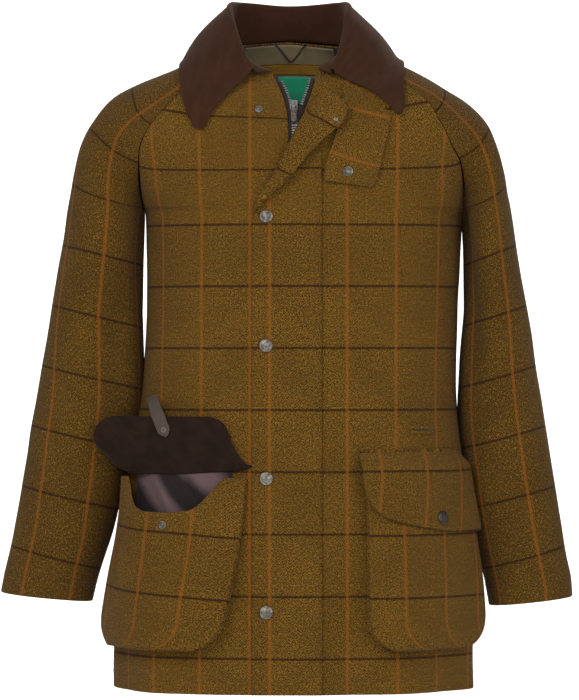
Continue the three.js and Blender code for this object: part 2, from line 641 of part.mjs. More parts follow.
function collarColumn(at) {
  const value = (column) => read(collarRows, 'at', column, at);
  const frontWay = smooth(0.3, 0.45, Math.abs(at - 0.5));
  const foot = neckline.getPointAt(at).add(vector(0, -2 * frontWay, 0.8 + 3 * frontWay));
  const roll = vector(value('rollX'), value('rollY'), value('rollZ'));
  const edge = vector(value('edgeX'), value('edgeY'), value('edgeZ'));
  const outward = vector(edge.x - roll.x, edge.y - roll.y, 0).normalize();
  const middle = roll.clone().add(vector(0, 0, -collarRoll));
  const rolled = [-90, -45, 0, 45, 90].map((degrees) => {
    const turn = THREE.MathUtils.degToRad(degrees);
    return middle.clone()
      .addScaledVector(outward, collarRoll * Math.sin(turn))
      .add(vector(0, 0, collarRoll * Math.cos(turn)));
  });
  const column = [];
  for (let k = 0; k < standSteps; k += 1) column.push(foot.clone().lerp(rolled[0], k / standSteps));
  column.push(...rolled);
  for (let k = 1; k <= fallSteps; k += 1) {
    const part = k / fallSteps;
    const fallen = rolled[4].clone().lerp(edge, part);
    fallen.addScaledVector(outward, 7 * Math.sin(Math.PI * part));
    column.push(clearOf(fallen, mix(3, collarLift, Math.min(2 * part, 1))));
  }
  return column;
}
{
  const columns = Array.from({ length: collarColumns + 1 }, (_, k) => collarColumn(k / collarColumns));
  // The collar's wall is built on the face that shows, and its thickness lies inside the fold.
  const foldHeart = vector(0, 75, 35);
  wall('collar', materials.moleskin, { points: columns }, cloth, foldHeart);
}

// Storm flap: it lies over the zip from the hem up, and its top is turned back to the left.
const flapLevel = lay + cloth + 0.4;
const flapRows = 14;
const flapBase = 37.5;
const flapEdge = -43.5;
const turnedRows = [
  { baseX: 37.5, baseZ: -176, foldX: -36, foldZ: -171, tipX: -31, tipZ: -169, lift: 5.4 },
  { baseX: 37.5, baseZ: -163, foldX: -25, foldZ: -153, tipX: -14, tipZ: -154, lift: 6 },
  { baseX: 37.5, baseZ: -147, foldX: -11, foldZ: -130, tipX: 1, tipZ: -137, lift: 7 },
  { baseX: 37.5, baseZ: -125, foldX: 1, foldZ: -104, tipX: 21, tipZ: -113, lift: 8 },
  { baseX: 37.5, baseZ: -102, foldX: 15, foldZ: -79, tipX: 43, tipZ: -92, lift: 8 },
  { baseX: 40, baseZ: -80, foldX: 29, foldZ: -60, tipX: 64, tipZ: -78, lift: 8 },
  { baseX: 44, baseZ: -61, foldX: 41, foldZ: -47, tipX: 69, tipZ: -66, lift: 8 },
  { baseX: 49, baseZ: -49, foldX: 50, foldZ: -38, tipX: 71, tipZ: -58, lift: 8 },
];
const flapPoints = [];
for (let i = 0; i < flapRows; i += 1) {
  const z = mix(hemHeight + 2, -200, i / (flapRows - 1));
  flapPoints.push(Array.from({ length: 9 },
    (_, j) => onFront(mix(flapBase, flapEdge, j / 8), z, flapLevel).point));
}
const lastFlat = [0, 0.24, 0.47, 0.7, 0.9, 0.94, 0.96, 0.98, 1];
flapPoints.push(lastFlat.map(
  (part) => onFront(mix(flapBase, flapEdge, part), -182, flapLevel).point));
for (const row of turnedRows) {
  const line = [];
  for (let j = 0; j <= 4; j += 1) {
    line.push(onFront(mix(row.baseX, row.foldX, j / 4), mix(row.baseZ, row.foldZ, j / 4), flapLevel).point);
  }
  const away = vector(row.tipX - row.foldX, 0, row.tipZ - row.foldZ).normalize();
  const raised = (part, lift) => onFront(
    mix(row.foldX, row.tipX, part), mix(row.foldZ, row.tipZ, part), flapLevel + lift).point;
  const apex = onFront(row.foldX, row.foldZ, flapLevel + row.lift / 2).point
    .addScaledVector(away, -row.lift / 2);
  line.push(apex, raised(0, row.lift), raised(0.5, row.lift), raised(1, row.lift));
  flapPoints.push(line);
}
wall('storm_flap', materials.tweed, { points: flapPoints }, cloth, bodyMiddle);

// Throat tab: it hangs below the collar on the left front.
const tabLevel = lay + cloth + 0.8;
const tabRows = [
  { innerX: 64, innerZ: -27, outerX: 112, outerZ: -55 },
  { innerX: 63, innerZ: -45, outerX: 119, outerZ: -66 },
  { innerX: 59, innerZ: -70, outerX: 116, outerZ: -84 },
  { innerX: 51, innerZ: -95, outerX: 111, outerZ: -104 },
  { innerX: 44, innerZ: -117, outerX: 107, outerZ: -122 },
  { innerX: 40.5, innerZ: -134, outerX: 103, outerZ: -139 },
  { innerX: 41.5, innerZ: -143, outerX: 97, outerZ: -151 },
];
wall('throat_tab', materials.tweed, {
  points: tabRows.map((row) => Array.from({ length: 7 }, (_, j) => onFront(
    mix(row.innerX, row.outerX, j / 6), mix(row.innerZ, row.outerZ, j / 6), tabLevel).point)),
}, cloth, bodyMiddle);

// Bellows pockets: the panel stands out from the body on a gusset along its sides and bottom.
const pocketBottom = -698;
const pocketCorner = 38;
const pocketStandout = { top: 8, bottom: 20 };
const pockets = {
  right: { inner: -57, outer: -250, top: -488, mouth: 46, gape: 18 },
  left: { inner: 90, outer: 254, top: -488, mouth: 0, gape: 0 },
};

// How far the inner face of a pocket stands out: it grows downwards, and an open mouth gapes.
function pocketDepth(side, across, z) {
  const { top, gape } = pockets[side];
  const part = THREE.MathUtils.clamp((top - z) / (top - pocketBottom), 0, 1);
  return mix(pocketStandout.top, pocketStandout.bottom, smooth(0, 0.85, part))
    + gape * Math.sin(Math.PI * across) * (1 - part);
}

function pocketPlace(side, across, down) {
  const { inner, outer, top, mouth } = pockets[side];
  const z = mix(top - mouth * Math.sin(Math.PI * across) ** 0.8, pocketBottom, down);
  const fromBottom = z - pocketBottom;
  const cut = fromBottom < pocketCorner
    ? pocketCorner - Math.sqrt(pocketCorner ** 2 - (pocketCorner - fromBottom) ** 2) : 0;
  const [middle, halfWidth] = [(inner + outer) / 2, Math.abs(outer - inner) / 2];
  const along = middle + Math.sign(outer - inner) * (halfWidth - cut) * (2 * across - 1);
  const edge = 3 * Math.abs(2 * across - 1) ** 6;
  return { z, along, depth: pocketDepth(side, across, z) - edge };
}

for (const side of ['right', 'left']) {
  const { inner, outer, top } = pockets[side];
  const columns = 12;
  const rows = 11;
  const downs = Array.from({ length: rows }, (_, i) => (i / (rows - 1)) ** 0.8);
  const points = downs.map((down) => Array.from({ length: columns + 1 }, (_, j) => {
    const { z, along, depth } = pocketPlace(side, j / columns, Math.min(down, 0.995));
    return around(z, along, depth + cloth);
  }));
  wall(`pocket_${side}`, materials.tweed, { points }, cloth, bodyMiddle);

  // The gusset runs down one side, round the corners and up the other side.
  const inset = 5;
  const path = [];
  const straight = 6;
  const corner = 4;
  const turn = Math.sign(outer - inner);
  const [low, high] = [pocketBottom + inset, top - 1];
  const radius = pocketCorner - inset;
  const innerSide = inner + turn * inset;
  const outerSide = outer - turn * inset;
  for (let k = 0; k < straight; k += 1) {
    path.push({ along: innerSide, z: mix(high, low + radius, k / straight), sideways: -turn, drop: 0 });
  }
  for (let k = 0; k <= corner; k += 1) {
    const angle = (Math.PI / 2) * (k / corner);
    path.push({
      along: innerSide + turn * radius * (1 - Math.cos(angle)), z: low + radius * (1 - Math.sin(angle)),
      sideways: -turn * Math.cos(angle), drop: -Math.sin(angle) });
  }
  for (let k = 1; k < straight; k += 1) {
    path.push({
      along: mix(innerSide + turn * radius, outerSide - turn * radius, k / straight), z: low,
      sideways: 0, drop: -1 });
  }
  for (let k = 0; k <= corner; k += 1) {
    const angle = (Math.PI / 2) * (k / corner);
    path.push({
      along: outerSide - turn * radius * (1 - Math.sin(angle)), z: low + radius * (1 - Math.cos(angle)),
      sideways: turn * Math.sin(angle), drop: -Math.cos(angle) });
  }
  for (let k = 1; k <= straight; k += 1) {
    path.push({ along: outerSide, z: mix(low + radius, high, k / straight), sideways: turn, drop: 0 });
  }
  const bulge = 3;
  const gusset = path.map(({ along, z, sideways, drop }) => {
    const depth = pocketDepth(side, 0, z) - 3.5;
    return [0, 0.5, 1].map((part) => around(
      z + drop * bulge * Math.sin(Math.PI * part), along + sideways * bulge * Math.sin(Math.PI * part),
      mix(0.9, Math.max(depth, 1.2), part)));
  });
  wall(`pocket_${side}_gusset`, materials.tweed, { points: gusset }, trim,
    around(mix(top, pocketBottom, 0.8), (inner + outer) / 2, 6));
}

// A patch of cloth over the body: rows and columns of places along the girth, heights, offsets.
function patch(name, material, rows, columns, place, thickness) {
  const points = Array.from({ length: rows + 1 }, (_, i) => Array.from({ length: columns + 1 },
    (_, j) => {
      const { along, z, offset } = place(j / columns, i / rows);
      return around(z, along, offset);
    }));
  return wall(name, material, { points }, thickness, bodyMiddle);
}

// Satin behind the mouth of the open pocket.
patch('pocket_right_lining', materials.satin, 4, 8, (across, down) => ({
  along: mix(-66, -236, across), z: mix(-492, -575, down), offset: 0.6 + trim }), trim);

// Flaps: the left one lies closed over its pocket.
const closedFlap = { top: -461, bottom: -546, fall: 12, corner: 26 };
patch('flap_left', materials.tweed, 7, 11, (across, down) => {
  const cornerWay = Math.max(0, 1 - (across * 170) / closedFlap.corner);
  const bottom = closedFlap.bottom - closedFlap.fall * across + 14 * cornerWay ** 2;
  const z = mix(closedFlap.top, bottom, down ** 1.5);
  const rise = 1 - smooth(-480, -463, z);
  return {
    along: mix(mix(81, 84, down), mix(250, 257, down), across), z,
    offset: mix(lay + cloth, pocketDepth('left', 0, z) + 2 * cloth + 1.8, rise) };
}, cloth);

// The right flap is turned up: it leans out, most of all at its outer end.
const openFlap = { seam: -484, top: -424, inner: -47, outer: -252, sewnTo: -166, leaves: -108 };
function openFlapPoint(across, up) {
  const outer = mix(-206, openFlap.outer, smooth(0, 0.4, up));
  const along = mix(openFlap.inner - 24 * up, outer, across);
  const z = mix(openFlap.seam, openFlap.top, up) - 7 * smooth(0.9, 1, across) * up;
  const leaves = mix(openFlap.sewnTo, openFlap.leaves, smooth(0, 0.6, up));
  const rise = 2 + 4.6 * smooth(0, 0.7, up);
  if (along > leaves) return around(z, along, rise);
  const start = around(z, leaves, rise);
  const straight = start.clone().sub(around(z, leaves + 4, rise)).normalize();
  return start.addScaledVector(straight, leaves - along);
}

// A grid moved along its own normals, away from a point inside.
function raisedFrom(points, inside, distance) {
  const normals = gridNormals(points);
  return points.map((line, i) => line.map((point, j) => {
    const away = Math.sign(normals[i][j].dot(point.clone().sub(inside)));
    return point.clone().addScaledVector(normals[i][j], away * distance);
  }));
}
const openFlapPoints = Array.from({ length: 7 }, (_, i) => Array.from({ length: 13 },
  (_, j) => openFlapPoint(j / 12, i / 6)));
wall('flap_right', materials.tweed, { points: openFlapPoints }, trim, bodyMiddle);
wall('flap_right_lining', materials.moleskin, {
  points: raisedFrom(openFlapPoints, bodyMiddle, trim + 0.4),
  normals: gridNormals(openFlapPoints) }, trim, bodyMiddle);

// Strap that holds the open flap: up behind it, over its edge and down in front to a point.
const strap = { along: -160, width: 13, slit: -438, fold: -408, tip: -446 };
const strapPath = [
  { z: strap.slit, offset: 0.5 + trim, width: 1 },
  { z: -420, offset: 0.5 + trim, width: 1 },
  { z: strap.fold, offset: 3.4, width: 1 },
  { z: strap.fold + 3.6, offset: 6.4, width: 1 },
  { z: strap.fold + 2.6, offset: 10.2, width: 1 },
  { z: strap.fold - 3, offset: 12.6, width: 1 },
  { z: -425, offset: 12.6, width: 1 },
  { z: -440, offset: 11.6, width: 1 },
  { z: strap.tip, offset: 11.2, width: 0.25 },
];
wall('hold_strap', materials.tweed, {
  points: strapPath.map(({ z, offset, width }) => [-0.5, 0, 0.5].map(
    (side) => around(z, strap.along + side * width * strap.width, offset))),
}, trim, around(-430, strap.along, 7));

// Welt of the slit that the left strap comes from.
patch('slit_left', materials.tweed, 1, 4, (across, down) => ({
  along: mix(146, 184, across), z: mix(-434, -445, down), offset: lay + trim }), trim);

// Linings that show inside the back of the neck, each a band on the inner face of the back.
function insideBack(name, material, top, bottom, halfWidth, depth, centre = 0) {
  const heights = chestRows.map((row) => row.backZ);
  const place = (z, x) => {
    let i = 0;
    while (i < heights.length - 2 && z < heights[i + 1]) i += 1;
    const part = (heights[i] - z) / (heights[i] - heights[i + 1]);
    const at = (row) => {
      const length = row(0).distanceTo(row(0.5)) + row(0.5).distanceTo(row(1));
      return row(0.5 - x / length);
    };
    return at(backRows[i]).lerp(at(backRows[i + 1]), part);
  };
  const [rows, columns] = [4, 10];
  const points = Array.from({ length: rows + 1 }, (_, a) => Array.from({ length: columns + 1 },
    (_, b) => place(mix(top, bottom, a / rows), centre + mix(-halfWidth, halfWidth, b / columns))));
  const normals = gridNormals(points).map((line) => line.map(
    (normal) => (normal.y < 0 ? normal.negate() : normal)));
  const inside = points.map((line, a) => line.map(
    (point, b) => point.clone().addScaledVector(normals[a][b], -depth)));
  wall(name, material, { points: inside, normals }, trim, vector(0, 0, -60));
}
const liningDepth = cloth + 0.4;
insideBack('neck_lining', materials.khaki, 26, 3, 56, liningDepth);
insideBack('neck_facing', materials.tweed, 2.6, -9, 60, liningDepth);
insideBack('back_lining', materials.satin, -10, -100, 82, liningDepth);
insideBack('label', materials.label, -11, -44, 23, liningDepth + trim + 0.5, 6);

// Hanger loop: a cord from the neck seam, hanging in a point.
{
  const way = new THREE.CatmullRomCurve3([
    vector(-17, 58.2, 26), vector(-12, 58, 19), vector(-5, 58.4, 10), vector(2, 59, 4),
    vector(9, 58.4, 10), vector(15, 58, 19), vector(19, 58.2, 26)]);
  const section = new THREE.Shape();
  section.absarc(0, 0, 1.4, 0, 2 * Math.PI);
  const geometry = new THREE.ExtrudeGeometry(
    section, { steps: 20, extrudePath: way, curveSegments: 4, bevelEnabled: false });
  meshOf('hanger_loop', materials.moleskin, geometry);
}

// Zip tapes: a strip beside each front's edge.
for (const side of ['right', 'left']) {
  const turn = side === 'right' ? 1 : -1;
  const edges = fronts[side].points.slice(1, -1).map((line) => line[0]);
  const points = edges.map((edge) => [0, 0.5, 1].map((part) => onFront(
    edge.x + turn * (mix(0.4, 1.6, smooth(-80, -40, edge.z)) + part * tapeWidth), edge.z, -0.4).point));
  wall(`zip_tape_${side}`, materials.tape, { points }, trim, bodyMiddle);
}

// Two closed bodies that run into each other, joined into one.
function joined(first, second) {
  const [one, two] = [first, second].map((geometry) => {
    const bare = geometry.clone();
    bare.deleteAttribute('normal');
    bare.deleteAttribute('uv');
    const merged = mergeVertices(bare);
    return new wasm.Manifold(new wasm.Mesh({
      numProp: 3,
      vertProperties: new Float32Array(merged.attributes.position.array),
      triVerts: new Uint32Array(merged.index.array) }));
  });
  const { vertProperties, triVerts } = one.add(two).getMesh();
  return faceOut(Array.from(vertProperties), Array.from(triVerts));
}

// Slider: a plate over both rows of teeth, with a bridge that carries the pull.
const sliderHeight = -58;
const slider = { width: 9, height: 13, plate: 2.4, bridge: 3, span: 10, rise: 3.4, bar: 1.2 };
const pull = { width: 6.6, length: 22, thickness: 1.3, bar: 1.6, slot: 4.6, reach: 6.4 };
const sliderSeat = onFront(zipX, sliderHeight, 0.2);
const lean = Math.atan2(sliderSeat.outward.z, -sliderSeat.outward.y);
{
  const profile = new THREE.Shape();
  profile.moveTo(0, -slider.span / 2);
  profile.lineTo(slider.rise - 1, -slider.span / 2);
  profile.lineTo(slider.rise + slider.bar, -slider.span / 2 + 1.4);
  profile.lineTo(slider.rise + slider.bar, slider.span / 2 - 1.4);
  profile.lineTo(slider.rise - 1, slider.span / 2);
  profile.lineTo(0, slider.span / 2);
  profile.lineTo(0, slider.height / 2);
  profile.lineTo(-slider.plate, slider.height / 2);
  profile.lineTo(-slider.plate, -slider.height / 2);
  profile.lineTo(0, -slider.height / 2);
  profile.closePath();
  const eye = new THREE.Path();
  eye.moveTo(0.2, -slider.span / 2 + 1.2);
  eye.lineTo(0.2, slider.span / 2 - 1.2);
  eye.lineTo(slider.rise - 1.2, slider.span / 2 - 1.2);
  eye.lineTo(slider.rise, slider.span / 2 - 2.2);
  eye.lineTo(slider.rise, -slider.span / 2 + 2.2);
  eye.lineTo(slider.rise - 1.2, -slider.span / 2 + 1.2);
  eye.closePath();
  profile.holes.push(eye);
  // The profile's first axis points out of the cloth and its second one up along the zip.
  const bridge = new THREE.ExtrudeGeometry(profile, { depth: slider.bridge, bevelEnabled: false });
  bridge.translate(0, 0, -slider.bridge / 2);
  const plate = new THREE.BoxGeometry(slider.plate, slider.height, slider.width);
  plate.translate(-slider.plate / 2, 0, 0);
  const mesh = meshOf('zip_slider', materials.metal, joined(bridge, plate));
  const outward = sliderSeat.outward;
  const up = vector(0, Math.sin(lean), Math.cos(lean));
  mesh.quaternion.setFromRotationMatrix(
    new THREE.Matrix4().makeBasis(outward, up, outward.clone().cross(up)));
  mesh.position.copy(sliderSeat.point).addScaledVector(outward, slider.plate);
}

// Pull tab: a plate with a slot, hung with its top bar in the bridge of the slider.
const hingeDrop = 2.6;
const hingeStandout = 1.4;
const zipOut = vector(0, -Math.cos(lean), Math.sin(lean));
const zipUp = vector(0, Math.sin(lean), Math.cos(lean));
const hinge = sliderSeat.point.clone()
  .addScaledVector(zipOut, slider.plate + hingeStandout)
  .addScaledVector(zipUp, -hingeDrop);
{
  const plate = new THREE.Shape();
  const [edge, low] = [pull.width / 2, pull.length - pull.width / 2];
  plate.moveTo(-edge, pull.bar / 2);
  plate.lineTo(-edge, -low);
  plate.absarc(0, -low, edge, Math.PI, 2 * Math.PI);
  plate.lineTo(edge, pull.bar / 2);
  plate.closePath();
  const slot = new THREE.Path();
  slot.moveTo(-pull.slot / 2, -pull.bar / 2);
  slot.lineTo(pull.slot / 2, -pull.bar / 2);
  slot.lineTo(pull.slot / 2, -pull.reach);
  slot.lineTo(-pull.slot / 2, -pull.reach);
  slot.closePath();
  plate.holes.push(slot);
  const body = new THREE.ExtrudeGeometry(
    plate, { depth: pull.thickness, bevelEnabled: false, curveSegments: 8 });
  body.translate(0, 0, -pull.thickness / 2);
  const mesh = meshOf('zip_pull', materials.metal, body);
  mesh.quaternion.setFromRotationMatrix(
    new THREE.Matrix4().makeBasis(zipUp.clone().cross(zipOut), zipUp, zipOut));
  mesh.position.copy(hinge);
}

// Snaps, studs and a socket: round metal pieces seated on the cloth.
function fastener(name, seat, radius, height, dished = false) {
  const profile = dished
    ? [[0, 0], [radius, 0], [radius, 0.5 * height], [0.8 * radius, height], [0.55 * radius, height],
      [0.4 * radius, 0.4 * height], [0, 0.4 * height]]
    : [[0, 0], [radius, 0], [radius, 0.3 * height], [0.85 * radius, 0.7 * height],
      [0.5 * radius, height], [0, height]];
  const geometry = new THREE.LatheGeometry(profile.map(([r, h]) => new THREE.Vector2(r, h)), 16);
  const mesh = meshOf(name, materials.metal, geometry);
  mesh.quaternion.setFromUnitVectors(vector(0, 1, 0), seat.outward);
  mesh.position.copy(seat.point);
}

// Where a fastener sits on the body at a length from the zip: its point and the way it faces.
function seatAround(z, along, offset) {
  const point = around(z, along, offset);
  const across = around(z, along + 5, offset).sub(around(z, along - 5, offset));
  const down = around(z - 5, along, offset).sub(around(z + 5, along, offset));
  return { point, outward: across.cross(down).negate().normalize() };
}

const snapX = -26;
const seated = 0.6;
[-191, -343, -497, -651].forEach((z, i) => {
  fastener(`snap_${i + 1}`, onFront(snapX, z, flapLevel + seated), capRadius, capHeight);
});
fastener('snap_tab', onFront(68, -131, tabLevel + seated), 6.4, 2.6, true);
fastener('stud_front', onFront(-36, -55, seated), 5, 2.6, true);

// The press part on the underside of the turned-back flap, which now faces forward.
fastener('socket_flap', onFront(54, -70, flapLevel + 8 + cloth + seated), 6, 2, true);

const studPlace = pocketPlace('right', 0.5, 0.1);
fastener('stud_pocket', seatAround(
  studPlace.z, studPlace.along, studPlace.depth + cloth + seated), 5, 2.6, true);
const pocketSnap = { z: -535, along: 196 };
fastener('snap_pocket', seatAround(pocketSnap.z, pocketSnap.along,
  pocketDepth('left', 0, pocketSnap.z) + 2 * cloth + 2.2 + seated), capRadius, capHeight);

export default coat;
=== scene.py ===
import json
import math

import bmesh
import bpy
import numpy as np
from mathutils import Matrix, Vector, noise
from mathutils.bvhtree import BVHTree

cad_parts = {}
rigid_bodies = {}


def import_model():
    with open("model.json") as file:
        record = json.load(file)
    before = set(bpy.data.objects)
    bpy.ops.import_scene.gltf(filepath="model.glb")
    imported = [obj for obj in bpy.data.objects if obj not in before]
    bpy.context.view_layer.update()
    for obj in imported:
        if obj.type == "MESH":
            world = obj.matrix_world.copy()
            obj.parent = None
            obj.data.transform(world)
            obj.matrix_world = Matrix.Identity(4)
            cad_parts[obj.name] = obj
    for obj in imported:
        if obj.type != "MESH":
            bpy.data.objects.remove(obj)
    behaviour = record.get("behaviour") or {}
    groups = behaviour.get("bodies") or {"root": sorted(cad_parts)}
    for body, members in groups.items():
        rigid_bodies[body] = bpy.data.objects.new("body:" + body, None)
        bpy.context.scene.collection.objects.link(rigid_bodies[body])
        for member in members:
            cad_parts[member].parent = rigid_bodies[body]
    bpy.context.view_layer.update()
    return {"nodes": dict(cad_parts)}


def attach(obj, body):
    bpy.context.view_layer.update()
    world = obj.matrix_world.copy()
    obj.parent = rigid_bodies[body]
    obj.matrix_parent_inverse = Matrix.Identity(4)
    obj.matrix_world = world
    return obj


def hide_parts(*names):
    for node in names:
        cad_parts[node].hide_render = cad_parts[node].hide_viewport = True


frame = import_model()

# Camera
# It stands level with the middle of the coat and square to its front.
camera = bpy.data.objects.new("camera", bpy.data.cameras.new("camera"))
bpy.context.scene.collection.objects.link(camera)
camera.location = (0, -5.5, -0.346)
camera.rotation_euler = (math.radians(90), 0, 0)
camera.data.sensor_fit = "VERTICAL"
camera.data.sensor_height = 24
camera.data.lens = 157.1
bpy.context.scene.camera = camera

# Stage
# A pale paper floor that turns up into a wall behind the coat, with round soft lights
# in front of it, one behind it and two on the wall.
floor_low, floor_front, wall_back, turn_radius, half_width = -1.45, -4.0, 7.0, 1.2, 4.5
sweep = [(floor_front, floor_low)]
for step in range(13):
    angle = math.radians(90 * step / 12)
    sweep.append((wall_back - turn_radius + turn_radius * math.sin(angle),
                  floor_low + turn_radius * (1 - math.cos(angle))))
sweep.append((wall_back, 3.2))
mesh = bmesh.new()
bmesh.ops.create_grid(mesh, x_segments=1, y_segments=len(sweep) - 1, size=1)
ordered = sorted(mesh.verts, key=lambda v: (round(v.co.y, 5), v.co.x))
for index, vert in enumerate(ordered):
    y, z = sweep[index // 2]
    vert.co = (half_width if index % 2 else -half_width, y, z)
data = bpy.data.meshes.new("studio_sweep")
mesh.to_mesh(data)
mesh.free()
data.shade_smooth()
studio = bpy.data.objects.new("studio_sweep", data)
bpy.context.scene.collection.objects.link(studio)
paper = bpy.data.materials.new("studio_paper")
paper.use_nodes = True
paper_look = paper.node_tree.nodes["Principled BSDF"].inputs
paper_look["Base Color"].default_value = (0.88, 0.88, 0.87, 1)
paper_look["Roughness"].default_value = 0.9
data.materials.append(paper)

lights = [
    {"name": "key", "at": (-1.6, -2.6, 1.5), "to": (0, 0, -0.3), "size": 1.7, "watts": 37},
    {"name": "fill", "at": (2.2, -2.4, 0.4), "to": (0, 0, -0.4), "size": 2.0, "watts": 19},
    {"name": "low_front", "at": (0.1, -3.4, 0.1), "to": (0, 0, -0.15), "size": 1.0, "watts": 15},
    {"name": "back", "at": (0.6, 3.2, 2.6), "to": (0, 0, -0.3), "size": 1.6, "watts": 44},
    {"name": "wall_left", "at": (-2.4, 5.2, 0.8), "to": (-0.7, 7, -0.2), "size": 1.6, "watts": 90},
    {"name": "wall_right", "at": (2.4, 5.2, 0.8), "to": (0.7, 7, -0.2), "size": 1.6, "watts": 90},
]
for light in lights:
    lamp = bpy.data.lights.new(light["name"], "AREA")
    lamp.shape = "DISK"
    lamp.size = light["size"]
    lamp.energy = light["watts"]
    holder = bpy.data.objects.new(light["name"], lamp)
    holder.location = light["at"]
    aim = Vector(light["to"]) - Vector(light["at"])
    holder.rotation_euler = aim.to_track_quat("-Z", "Y").to_euler()
    bpy.context.scene.collection.objects.link(holder)
sky = bpy.data.worlds.new("studio_sky")
sky.use_nodes = True
sky.node_tree.nodes["Background"].inputs["Color"].default_value = (1, 1, 1, 1)
sky.node_tree.nodes["Background"].inputs["Strength"].default_value = 0.36
bpy.context.scene.world = sky
bpy.context.scene.view_settings.view_transform = "Standard"

# Shape of the body and sleeves, in millimetres
# The coat hangs as on a person: a body as level sections below the armpits, raglan rows
# from the neck to the armpits, and sleeves bent a little at the elbows. The rows are
# those of the solid panels, drawn finer.
def hermite(t, i, values, slope, step=1):
    """The smooth curve from value i to the next one, at a part t of the way between them."""
    return ((2 * t**3 - 3 * t**2 + 1) * values[i] + (t**3 - 2 * t**2 + t) * step * slope[i]
            + (3 * t**2 - 2 * t**3) * values[i + 1] + (t**3 - t**2) * step * slope[i + 1])


def slopes(keys, values):
    before, after = np.r_[0, 0:len(keys) - 1], np.r_[1:len(keys), len(keys) - 1]
    return (values[after] - values[before]) / (keys[after] - keys[before])


def read(rows, column, at):
    """Smooth reading of one column of a table whose first column is its key."""
    keys, values = rows[:, 0], rows[:, column]
    if keys[0] > keys[-1]:
        keys, values = keys[::-1], values[::-1]
    i = np.clip(np.searchsorted(keys, at) - 1, 0, len(keys) - 2)
    step = keys[i + 1] - keys[i]
    return hermite(np.clip((at - keys[i]) / step, 0, 1), i, values, slopes(keys, values), step)


def smooth(low, high, value):
    t = np.clip((np.asarray(value, float) - low) / (high - low), 0, 1)
    return t * t * (3 - 2 * t)


def unit(v):
    return v / np.maximum(np.linalg.norm(v, axis=-1, keepdims=True), 1e-9)


# z, centre, half width, depth to the front and to the back of each level section
girth_rows = np.array([
    (-186, 17, 190, 124, 116), (-290, 16, 187, 132, 120), (-405, 11, 190, 138, 126),
    (-500, 7, 204, 147, 137), (-600, 6, 211, 154, 146), (-700, 4, 214, 158, 151),
    (-749, 4, 215, 158, 152)])
# folds of the skirt: place along the girth, width, depth and the height where each begins
drapes = [
    (-232, 30, -5, -300), (-165, 28, 4, -420), (74, 20, -4, -420), (132, 24, 4, -380),
    (205, 26, -5, -330), (262, 24, 5, -360), (350, 34, -6, -260), (430, 36, 6, -300),
    (520, 34, -6, -260), (640, 36, 6, -300), (730, 34, -6, -260), (800, 30, 4, -330)]
hem, armpit, squareness = -749, -186, 2.3


def girth(z):
    """A level section: points from the front round +X and back, their lengths, and the sides."""
    centre, half, front, back = (float(read(girth_rows, c, z)) for c in (1, 2, 3, 4))
    start = -math.copysign(math.asin((abs(centre) / half) ** (squareness / 2)), centre)
    angle = start + np.linspace(0, 2 * math.pi, 577)
    rounded = lambda v: np.sign(v) * np.abs(v) ** (2 / squareness)
    depth = np.where(np.cos(angle) > 0, front, back)
    points = np.stack([centre + half * rounded(np.sin(angle)), -depth * rounded(np.cos(angle)),
                       np.full(577, z)], 1)
    lengths = np.r_[0, np.cumsum(np.linalg.norm(np.diff(points, axis=0), axis=1))]
    left = float(np.interp(math.pi / 2, angle, lengths))
    right = float(np.interp(1.5 * math.pi, angle, lengths)) - lengths[-1]
    return points, lengths, lengths[-1], left, right


girth_cache = {}


def around(z, along, offset=0):
    """Outer face of the body at one height and lengths from the zip, moved out by an offset."""
    key = round(float(z), 1)
    if key not in girth_cache:
        girth_cache[key] = girth(key)
    points, lengths, total = girth_cache[key][:3]
    along = np.atleast_1d(np.asarray(along, float))
    place = lambda s: np.stack([np.interp(s % total, lengths, points[:, k]) for k in range(3)], 1)
    ahead, behind = place(along + 3), place(along - 3)
    outward = unit(np.stack([ahead[:, 1] - behind[:, 1], behind[:, 0] - ahead[:, 0],
                             0 * along], 1))
    fold = 0 * along
    for at, width, depth, begins in drapes:
        away = (along - at + total / 2) % total - total / 2
        fold += depth * np.exp(-(away / width) ** 2) * (1 - smooth(hem, begins, z))
    return place(along) + outward * (fold + offset)[:, None]


# ridge x and z, seam x and z, seam's depth ahead and behind, its rise behind, how closed the row is
raglan = {
    "right": np.array([
        (-80, 18, -63, 4, 38, 44, 18, 0), (-108, 5, -97, -12, 58, 62, 18, 0),
        (-141, -11, -128, -34, 76, 78, 16, 0), (-178, -26, -152, -57, 86, 88, 14, 0),
        (-211, -44, -168, -78, 87, 88, 11, 0), (-235, -71, -177, -98, 79, 80, 8, 0.15),
        (-250, -99, -179, -125, 63, 64, 4, 0.4), (-258, -132, -178, -154, 43, 43, 2, 0.7),
        (-263, -158, -175, -174, 24, 24, 0, 0.9)]),
    "left": np.array([
        (80, 18, 63, 4, 38, 44, 18, 0), (110, 5, 100, -8, 58, 62, 16, 0),
        (145, -12, 137, -24, 76, 78, 10, 0), (183, -33, 163, -45, 86, 88, 8, 0),
        (213, -51, 181, -73, 87, 88, 8, 0), (236, -74, 193, -98, 79, 80, 7, 0.15),
        (249, -101, 203, -120, 63, 64, 3, 0.4), (258, -133, 207.5, -152, 43, 43, 2, 0.7),
        (262, -158, 207.7, -174, 24, 24, 0, 0.9)])}
# middle of the front and of the back on the raglan rows: z and depth of each
chest = [
    (-20, 66, 28, 62), (-35, 78, 10, 75), (-52, 89, -11, 87), (-69, 99, -35, 97),
    (-88, 107, -60, 104), (-107, 112, -86, 109), (-129, 117, -114, 112),
    (-152, 121, -145, 114), (-171, 123, -168, 115)]
